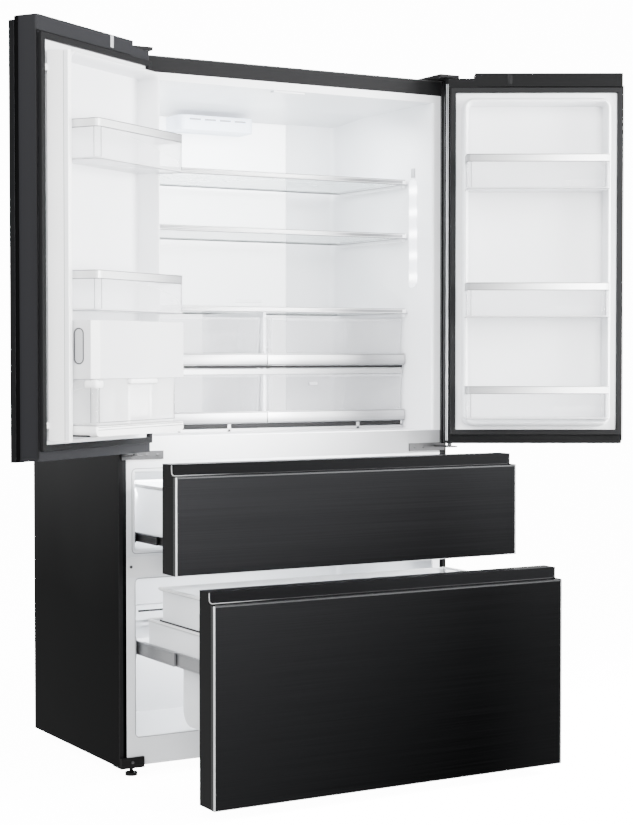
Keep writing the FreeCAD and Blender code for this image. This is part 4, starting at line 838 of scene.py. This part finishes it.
# %% Terraced liners with their flat borders, tucked under the seals
crest, skirt, lap = front + 46 * mm, 1.5, 13
height = room.z0 + (skin + 14 - skirt) * mm, span("mullion_bar").z1 + (10 - skin + skirt) * mm
for side in sides:
    bins, seal = span(f"{side}_door_bins"), span(f"{side}_door_gasket")
    mesh = block(bmesh.new(), within(bins.x, -6 - skirt), near(seal.y0, 0, 3), height)
    bevel(mesh, along(mesh, 1), 30, 8)
    face = max(mesh.faces, key=lambda one: one.calc_center_median().y)
    ridge, pan_floor = (crest - seal.y0) / mm - 3, (bins.y0 - crest) / mm
    for width, rise in (
        (2, ridge - 18), (1.5, 8), (2, 6), (2.5, 3), (2.5, 1),
        (2, -1.5), (2.5, -6), (3, -12), (3.5, pan_floor + 24), (2, -2.6), (3, -1.2),
    ):
        inset(mesh, face, width)
        bmesh.ops.translate(mesh, vec=(0, rise * mm, 0), verts=face.verts)
    piece(f"{side}_door_inner", mesh, white_liner, f"{side}_door", f"{side}_door_liner")
    mesh = block(bmesh.new(), within(seal.x, lap), near(seal.y0, 0, 2.5), within(seal.z, lap))
    bevel(mesh, along(mesh, 1), 4)
    piece(f"{side}_door_border", mesh, white_liner, f"{side}_door", edge=0.6)

# %% [markdown]
# ## Door bins
#
# A door bin is clear, with a silver rail round the top of its front and sides and a thicker white band round
# its foot. Rail and band are rings cut from the same rounded outline, so they follow the bin's corners.

# %% Clear bins with their bands
def band(x, y, z, corner=12, steps=6):
    """A ring of wall that goes round three sides of a bin."""
    mesh = block(bmesh.new(), x, y, z)
    delete_faces(mesh, lambda face: abs(face.normal.z) > 0.9 or face.normal.y < -0.9)
    bevel(mesh, along(mesh, 2, lambda co: co.y > y[0] + mm), corner, steps)
    return mesh


def door_bin(side, box, number):
    name, body = f"{side}_bin_{number}", f"{side}_door"
    corner, rail, foot, proud, shift = 12, 21, 5, 0.25, 0 if side == "left" else 5
    x = within(box.x, 4.5 + shift, 4.5 - shift)
    mesh = tub(within(x, 0.6), within(box.y, 0.6), within(box.z, 1), corner, 7)
    first = piece(f"{name}_tub", mesh, clear_plastic, body, wall=2.4)
    for part, finish, z, out, wall, edge in (
        ("rail", silver_rail, near(box.z1, -rail, 0), 0, 4, 1.2),
        ("foot", foot_band, near(box.z0, 0, foot), 0, 3, 1),
        ("upper_line", rail_line, near(box.z1, -2.6, -1.1), proud, 1.2, 0),
        ("lower_line", rail_line, near(box.z1, -rail - proud, 1.5 - rail), proud, 1.2, 0),
        ("foot_line", bin_edge, near(box.z0, 0, 1.6), proud, 1.2, 0),
    ):
        mesh = band(within(x, -out), within(box.y, 2, -out), z, corner)
        piece(f"{name}_{part}", mesh, finish, body, wall=wall, edge=edge)
    upright = within(box.z, foot, rail)
    blocks(f"{name}_edges", bin_edge, body, [
        *[(near(line, -0.9, 0.9), near(box.y1, -1, proud), upright, proud, 1) for line in within(x, corner)],
        *[(near(line, -proud, proud), near(box.y1, -corner - 0.9, 0.9 - corner), upright, proud, 1) for line in x],
    ])
    return first


for side in sides:
    made = [door_bin(side, box, number) for number, box in enumerate(islands(f"{side}_door_bins"), start=1)]
    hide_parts(f"{side}_door_bins")
    print(side, "bins", len(made))

# %% [markdown]
# ## Ice box, water tank and mullion
#
# The ice box is a matt grey case with a bevelled bright corner and an oval grip pressed into its side. The tank
# under it is clear with white caps, on a tray whose foot curves in. The mullion is a white bar with a fine
# groove, hinged on the left door's free side.

# %% Ice box and the bright bevelled corner between its face and its side
def bevelled_case(x, y, z):
    mesh = block(bmesh.new(), x, y, z)
    bevel(mesh, along(mesh, 2, lambda co: co.x > x[1] - mm and co.y > y[1] - mm), 14, 1)
    return mesh


module = span("ice_module")
mesh = bevelled_case(within(module.x, 0, 0.4), module.y, module.z)
piece("ice_box", mesh, ice_grey, "left_door", "ice_module", edge=1.5, steps=3)
mesh = bevelled_case(near(module.x1, -16, -0.15), near(module.y1, -16, 0.25), within(module.z, 1))
piece("ice_box_corner", mesh, white_trim, "left_door")


# %% The oval grip in the ice box's side
def oval(x, width, height):
    """A flat upright oval."""
    y, z = module.y1 - 47 * mm, module.z0 + 75.5 * mm
    mesh = block(bmesh.new(), near(x, -1, 1), near(y, -width / 2, width / 2), near(z, -height / 2, height / 2))
    bevel(mesh, along(mesh, 0), width / 2 - 0.1, 10)
    return mesh


grip_x, width, height, border = module.x1 - 0.2 * mm, 27, 84, 2.5
mesh = oval(grip_x, width, height)
face = max(mesh.faces, key=lambda one: one.calc_center_median().x)
inset(mesh, face, border)
bmesh.ops.translate(mesh, vec=(-0.8 * mm, 0, 0), verts=face.verts)
piece("ice_grip_rim", mesh, grip_rim, "left_door")
piece("ice_grip_well", oval(grip_x - 0.7 * mm, width - 6, height - 6), grip_well, "left_door", edge=0.4)

# %% The tank, its caps and posts, the pump's housing inside it and the fine lines along its edges
tank, left = span("water_tank"), cabinet.x0
mesh = tub(tank.x, tank.y, tank.z, 14, 8, 2)
piece("tank", mesh, tank_plastic, "left_door", "water_tank", wall=2.6)

mesh, top = bmesh.new(), module.z0 - mm
block(mesh, near(left, 190, 308), (tank.y1 - 12 * mm, module.y1 + 8 * mm), near(top, -12, 0), 4, 3)
block(mesh, near(tank.x1, -34, 2), near(tank.y1, -34, 2), near(top, -22, 0), 8, 4)
for start in (196, 290):
    block(mesh, near(left, start, start + 12), near(tank.y1, -10, -3), (tank.z0 + 3 * mm, top - 6 * mm), 2)
tap = left + 296 * mm, tank.y1 - 14 * mm
rod(mesh, (*tap, tank.z0 + 3 * mm), (*tap, tank.z0 + 20 * mm), 11, 8)
piece("tank_caps", mesh, white_trim, "left_door")

blocks("tank_pump_housing", white_trim, "left_door", [
    (near(left, 196, 302), near(tank.y1, -44, -6), (tank.z0 + 16 * mm, module.z0 - 9 * mm), 7, 4),
])
upright = tank.z0 + 8 * mm, module.z0 - 3 * mm
blocks("tank_lines", bin_edge, "left_door", [
    *[(near(x, -0.9, 0.9), near(y, -0.9, 0.3), upright, 0.225, 1)
      for x, y in ((tank.x1 - 14 * mm, tank.y1), (tank.x1, tank.y1 - 14 * mm), (tank.x0 + 14 * mm, tank.y1))],
    (within(tank.x, 14), near(tank.y1, -0.9, 0.3), near(tank.z0, 8, 9.5), 0.225, 1),
])

# %% The tank's tray with its lines, and the painted shadow under it
tray = span("tank_fittings")
mesh = block(bmesh.new(), (tray.x0, module.x1), (tray.y0, module.y1), (tray.z0, tank.z0))
bevel(mesh, along(mesh, 1, lambda co: co.z < tray.z0 + mm), 14, 5)
bevel(mesh, along(mesh, 2, lambda co: co.y > module.y1 - mm), 6)
piece("tank_tray", mesh, white_trim, "left_door", "tank_fittings", edge=1.2)
blocks("tank_tray_lines", rail_line, "left_door", [
    ((tray.x0 + 4 * mm, module.x1 - 8 * mm), near(module.y1, -1, 0.3), near(z, 0, 1.4), 0.3, 1)
    for z in (tank.z0 - 3 * mm, tray.z0 + 15 * mm)
])
blocks("tray_shadow", dark_gap, "left_door", [
    (within(tray.x, 50, 4), near(front, 23, 90), near(tray.z0, -0.5, 4), 1),
])

# %% Mullion, with a raised strip along its free edge and a line beside the strip
eased("mullion_bar", white_trim, 1.5, 3)
bar, knuckle = span("mullion_bar"), 7.5
face = bar.x1 - knuckle * mm
blocks("mullion_strip", white_liner, "mullion", [
    (near(face, -1, 0.3), near(bar.y1, -12, -1.5), within(bar.z, 3), 0.15, 1),
])
blocks("mullion_groove", grey_trim, "mullion", [
    (near(face, -1, 0.15), near(bar.y1, -14, -12.4), within(bar.z, 3)),
])

# %% [markdown]
# ## Drawers
#
# A drawer's front is a brushed pan whose side edges shine as two upright lines, with a duller line along the top
# edge. The black cap stands up behind the finger groove, which is closed at both sides; a line of sheet runs down
# the cap's front corners and turns in a small arc along the groove's edge, painted bright at the cabinet's left
# end as a highlight and dark elsewhere.

# %% Drawer fronts
for drawer in ("upper_drawer", "lower_drawer"):
    eased(f"{drawer}_panel", dark_steel, 1, 3)
    eased(f"{drawer}_body", cap_black, 2, 3)
    eased(f"{drawer}_gasket", seal_black, 2)


# %% Their lines
def cap_lines(pan, core):
    """A line down each front corner of the cap that turns in an arc and runs along its foot."""
    face, spare = pan.y0 + 28 * mm, 30 * mm
    mesh = block(bmesh.new(), within(core.x, 1.5), near(face, -0.3, 1), (pan.z1 + mm, core.z1 + spare))
    bevel(mesh, along(mesh, 1, lambda co: co.z < core.z1), 10, 8)
    front_ring(mesh, 2.4)
    whole, top = mesh.verts[:] + mesh.edges[:] + mesh.faces[:], (0, 0, core.z1 - 2 * mm)
    bmesh.ops.bisect_plane(mesh, geom=whole, plane_co=top, plane_no=(0, 0, 1), clear_outer=True)
    return mesh


for level in ("upper", "lower"):
    drawer, pan, core = f"{level}_drawer", span(f"{level}_drawer_panel"), span(f"{level}_drawer_body")
    blocks(f"{level}_groove_ends", cap_black, drawer, [
        (side, near(pan.y0, 2, 30), near(pan.z1, -32, 2), 0.25, 1) for side in ends(within(pan.x, 0.3), 3.7)
    ])
    blocks(f"{drawer}_side_lines", bright_edge, drawer, [
        *[(side, near(pan.y0, -0.1, 3), pan.z, 0.05, 1) for side in ends(within(pan.x, -0.1), 3.7)],
        (within(pan.x, 3.6), near(pan.y0, -0.05, 1), near(pan.z0, 0, 1.4), 0.025, 1),
    ])
    blocks(f"{drawer}_top_line", dull_edge, drawer, [
        (within(pan.x, 4), within(pan.y, -0.3, 0), near(pan.z1, -3.4, 0.3), 0.3, 1),
    ])
    piece(f"{level}_cap_lines", cap_lines(pan, core), cap_edge, drawer, wall=0.8)

# %% [markdown]
# ## Slides and baskets
#
# The slides are rolled channels with ball races, so each member shows two grooves and the fixed one ends in a
# black stop. The baskets are frosted plastic with a folded rim.

# %% Slides as rolled channels in place of plain bars
for member in ("cabinet", "upper_middle", "upper_drawer", "lower_middle", "lower_drawer"):
    node, mesh = f"{member}_rails", bmesh.new()
    for bar in islands(node):
        block(mesh, bar.x, bar.y, bar.z)
    for face in [face for face in mesh.faces if abs(face.normal.x) > 0.9]:
        inset(mesh, face, 4)
        inset(mesh, face, 1.2, -1.2)
    rolled = rail_dark if "upper" in node else rail_metal
    piece(f"{node}_channels", mesh, rolled, packed[node]["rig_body"], node, edge=0.7)

# %% Black stops on the fixed members' front ends
stops = []
for bar in islands("cabinet_rails"):
    more = 9 if bar.z0 < 0.45 else 3
    stops += [
        (within(bar.x, -0.2), near(bar.y0, -1, 18), within(bar.z, -more), 1.2),
        (within(bar.x, 1), near(bar.y0, 24, 60), near(bar.z0, 6, 12), 1),
    ]
blocks("cabinet_rails_stops", foot_black, "cabinet", stops)

# %% Baskets
box, fold = span("upper_basket"), 3.5
x, y = within(box.x, 4), within(box.y, 1, 2)
mesh = tub(x, y, box.z, 14, 12, 4)
rim(mesh, x, y, fold)
rim(mesh, within(x, -fold), within(y, -fold), 0.2, 9)
piece("upper_basket_tub", mesh, basket_plastic, "upper_drawer", "upper_basket", wall=2.6, edge=0.8)
eased("lower_basket", basket_plastic, 3, 3)
eased("lower_tray", basket_plastic, 3, 3)

# %% A folded rim round the top of each basket with a thin grey line under it, painted shade under the fold
for node in ("lower_basket", "lower_tray", "upper_basket"):
    box = span(node)
    for name, finish, z, out, wall in (
        ("rim", basket_rim, near(box.z1, -5, 0.5), 3, 5.6), ("rim_shade_line", shelf_grey, near(box.z1, -6.5, -5), 1, 2),
    ):
        mesh = band(within(box.x, -out), within(box.y, 0, -out), z, 6, 4)
        piece(f"{node}_{name}", mesh, finish, packed[node]["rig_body"], wall=wall, edge=0.5)

# %% Painted shadow in the gap between tray and basket
box = span("lower_tray")
blocks("lower_tray_foot", dark_gap, "sliding_tray", [
    (side, within(box.y, 4), near(box.z0, 1, 5), 0.3, 1) for side in ends(within(box.x, -0.4), 2)
])

# %% The freezer's rear cover with a vent box on the left and right, and the fan
eased("freezer_cover", freezer_white, 1)
eased("evaporator_fan", fan_grey, 0.6)
face, foot = span("freezer_cover").y0, cabinet.z0 + 300 * mm
vents = ends((-270 * mm, 270 * mm), 150)
blocks("rear_vent_boxes", freezer_white, "cabinet", [
    (x, near(face, -24, 1), near(foot, 0, 43), 2, 3) for x in vents
])
# The slots are dark strips: painted shade in the vents' openings.
blocks("rear_vent_slots", dark_gap, "cabinet", [
    (within(x, 35), near(face, -24.4, -23), near(foot, 24, 30), 1 / 3) for x in vents
])

# %% Upright fins on the coil's four tubes
box, tube, pitch, rows = span("evaporator"), 10 * mm, 12 * mm, 4
mesh = bmesh.new()
for fin in range(int((box.x1 - box.x0 - 2 * tube) / pitch) + 1):
    block(mesh, near(box.x0 + tube + fin * pitch, 0, 1.2), box.y, box.z)
for row in range(rows):
    y, z = sum(box.y) / 2, box.z0 + (row + 0.5) * (box.z1 - box.z0) / rows
    rod(mesh, (box.x0, y, z), (box.x1, y, z), 4, sides=12)
piece("coil", mesh, coil_metal, "cabinet", "evaporator", edge=0.15, steps=1)

# %% [markdown]
# ## Machine bay, feet and wheels
#
# The compressor is a drawn steel can, made of two halves that are welded round its waist. Wheels are turned, so
# their outline is spun round the axle.

# %% Compressor with its weld seam, and the front feet
eased("front_feet", foot_black, 1)
eased("compressor", pump_black, 3, 3)
x, y, z = 200 * mm, back - 115 * mm, sum(span("compressor").z) / 2 + 10 * mm
mesh = bmesh.new()
rod(mesh, (x, y, z - 2 * mm), (x, y, z + 2 * mm), 77, sides=64)
bevel(mesh, list(mesh.edges), 1.5, 2)
piece("compressor_seam", mesh, pump_black, "cabinet")

# %% Wheels with a grooved tread, spun from half their outline
for side in sides:
    node = f"{side}_roller"
    box = span(node)
    middle = Vector((sum(box.x) / 2, sum(box.y) / 2, sum(box.z) / 2))
    reach, radius = (box.x1 - box.x0) / 2 / mm, (box.z1 - box.z0) / 2 / mm
    outline = [(-reach, 0), (-reach, 4), (-12, 4), (-12, radius - 4), (-10, radius),
               (-3, radius), (-2, radius - 1.5)]
    outline += [(-x, r) for x, r in reversed(outline)]
    mesh = bmesh.new()
    verts = [mesh.verts.new(middle + Vector((x * mm, 0, r * mm))) for x, r in outline]
    edges = [mesh.edges.new(pair) for pair in zip(verts, verts[1:])]
    bmesh.ops.spin(mesh, geom=verts + edges, cent=middle, axis=(1, 0, 0), angle=2 * pi, steps=40, use_merge=True)
    bmesh.ops.remove_doubles(mesh, verts=mesh.verts, dist=0.01 * mm)
    piece(f"{side}_wheel", mesh, foot_black, packed[node]["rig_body"], node)

# %% [markdown]
# ## Studio
#
# A pale floor, a bright wall, an even sky and large soft lamps keep the dark fronts readable. The fridge has its
# own lamps, so soft lights hang inside each opening.

# %% Floor and wall
def studio_sheet(name, size, place, finish):
    """A large white sheet that is only looked at: it neither lights the refrigerator nor shows in its fronts."""
    mesh = bmesh.new()
    bmesh.ops.create_grid(mesh, x_segments=1, y_segments=1, size=size)
    bmesh.ops.transform(mesh, matrix=place, verts=mesh.verts)
    data = bpy.data.meshes.new(name)
    mesh.to_mesh(data)
    mesh.free()
    finish.feed({"Emission Color": (1, 1, 1, 1), "Emission Strength": 13.0})
    data.materials.append(finish.material)
    made = bpy.data.objects.new(name, data)
    made.visible_diffuse = made.visible_glossy = False
    bpy.context.scene.collection.objects.link(made)


pale = Finish("studio_floor", "trim_plastic", (0.95, 0.95, 0.95), 0.8)
pale.feed({"Base Color": pale.mix(pale.noise(3), (0.94, 0.94, 0.94), (0.96, 0.96, 0.96))})
studio_sheet("studio_floor", 30, Matrix(), pale)
upright = Matrix.Translation((4.3, 15, 6)) @ Matrix.Rotation(radians(90), 4, "X")
studio_sheet("studio_wall", 18, upright, Finish("studio_wall", "trim_plastic", (0.9, 0.9, 0.9), 0.9))
print("floor and wall")

# %% Sky and lamps
sky = bpy.data.worlds.new("studio_sky")
sky.use_nodes = True
sky.node_tree.nodes["Background"].inputs["Color"].default_value = (1, 1, 1, 1)
sky.node_tree.nodes["Background"].inputs["Strength"].default_value = 1.35
bpy.context.scene.world = sky
white, cool, cooler = (1, 1, 1), (0.97, 0.98, 1), (0.95, 0.97, 1)
for name, place, aim, size, watts, colour in (
    ("key", (-2.6, -3.2, 3.4), (0, -0.3, 0.9), (2.4, 2.4), 300, white),
    ("fill", (2.8, -3.4, 1.8), (0, -0.3, 1.0), (2.0, 2.6), 170, white),
    ("left_door_light", (1.97, -1.72, 1.3), (-0.75, -0.45, 1.3), (1.0, 1.4), 260, white),
    ("front", (0.1, -4.4, 1.5), (0, 0.2, 1.3), (1.8, 1.2), 250, white),
    ("fridge_top", (0, front + 0.18, 1.76), (0, front + 0.4, 0.9), (0.7, 0.25), 9, cooler),
    ("crisper_light", (-0.12, front - 0.22, 1.0), (-0.05, front + 0.3, 0.94), (0.6, 0.2), 7, cool),
    ("freezer_light", (0, front + 0.1, 0.5), (0, front + 0.3, 0.2), (0.7, 0.15), 14, cooler),
    ("basket_light", (-0.1, front + 0.06, 0.76), (-0.1, front + 0.3, 0.6), (0.7, 0.1), 12, cooler),
):
    data = bpy.data.lights.new(name, "AREA")
    data.shape, data.size, data.size_y, data.energy, data.color = "RECTANGLE", *size, watts, colour
    made = bpy.data.objects.new(name, data)
    made.location = place
    made.rotation_euler = (Vector(aim) - Vector(place)).to_track_quat("-Z", "Y").to_euler()
    made.visible_camera = False
    made.visible_glossy = name != "left_door_light"
    bpy.context.scene.collection.objects.link(made)
    print("lamp", name, watts)

# %% Camera, where the photographer stood
camera = bpy.data.objects.new("camera", bpy.data.cameras.new("camera"))
camera.location = (-2.3897, -4.5441, 1.0842)
camera.rotation_euler = (radians(90 - 1.84), 0, radians(-30.16))
camera.data.lens = 79.4
bpy.context.scene.collection.objects.link(camera)
bpy.context.scene.camera = camera
print("camera at", tuple(camera.location))
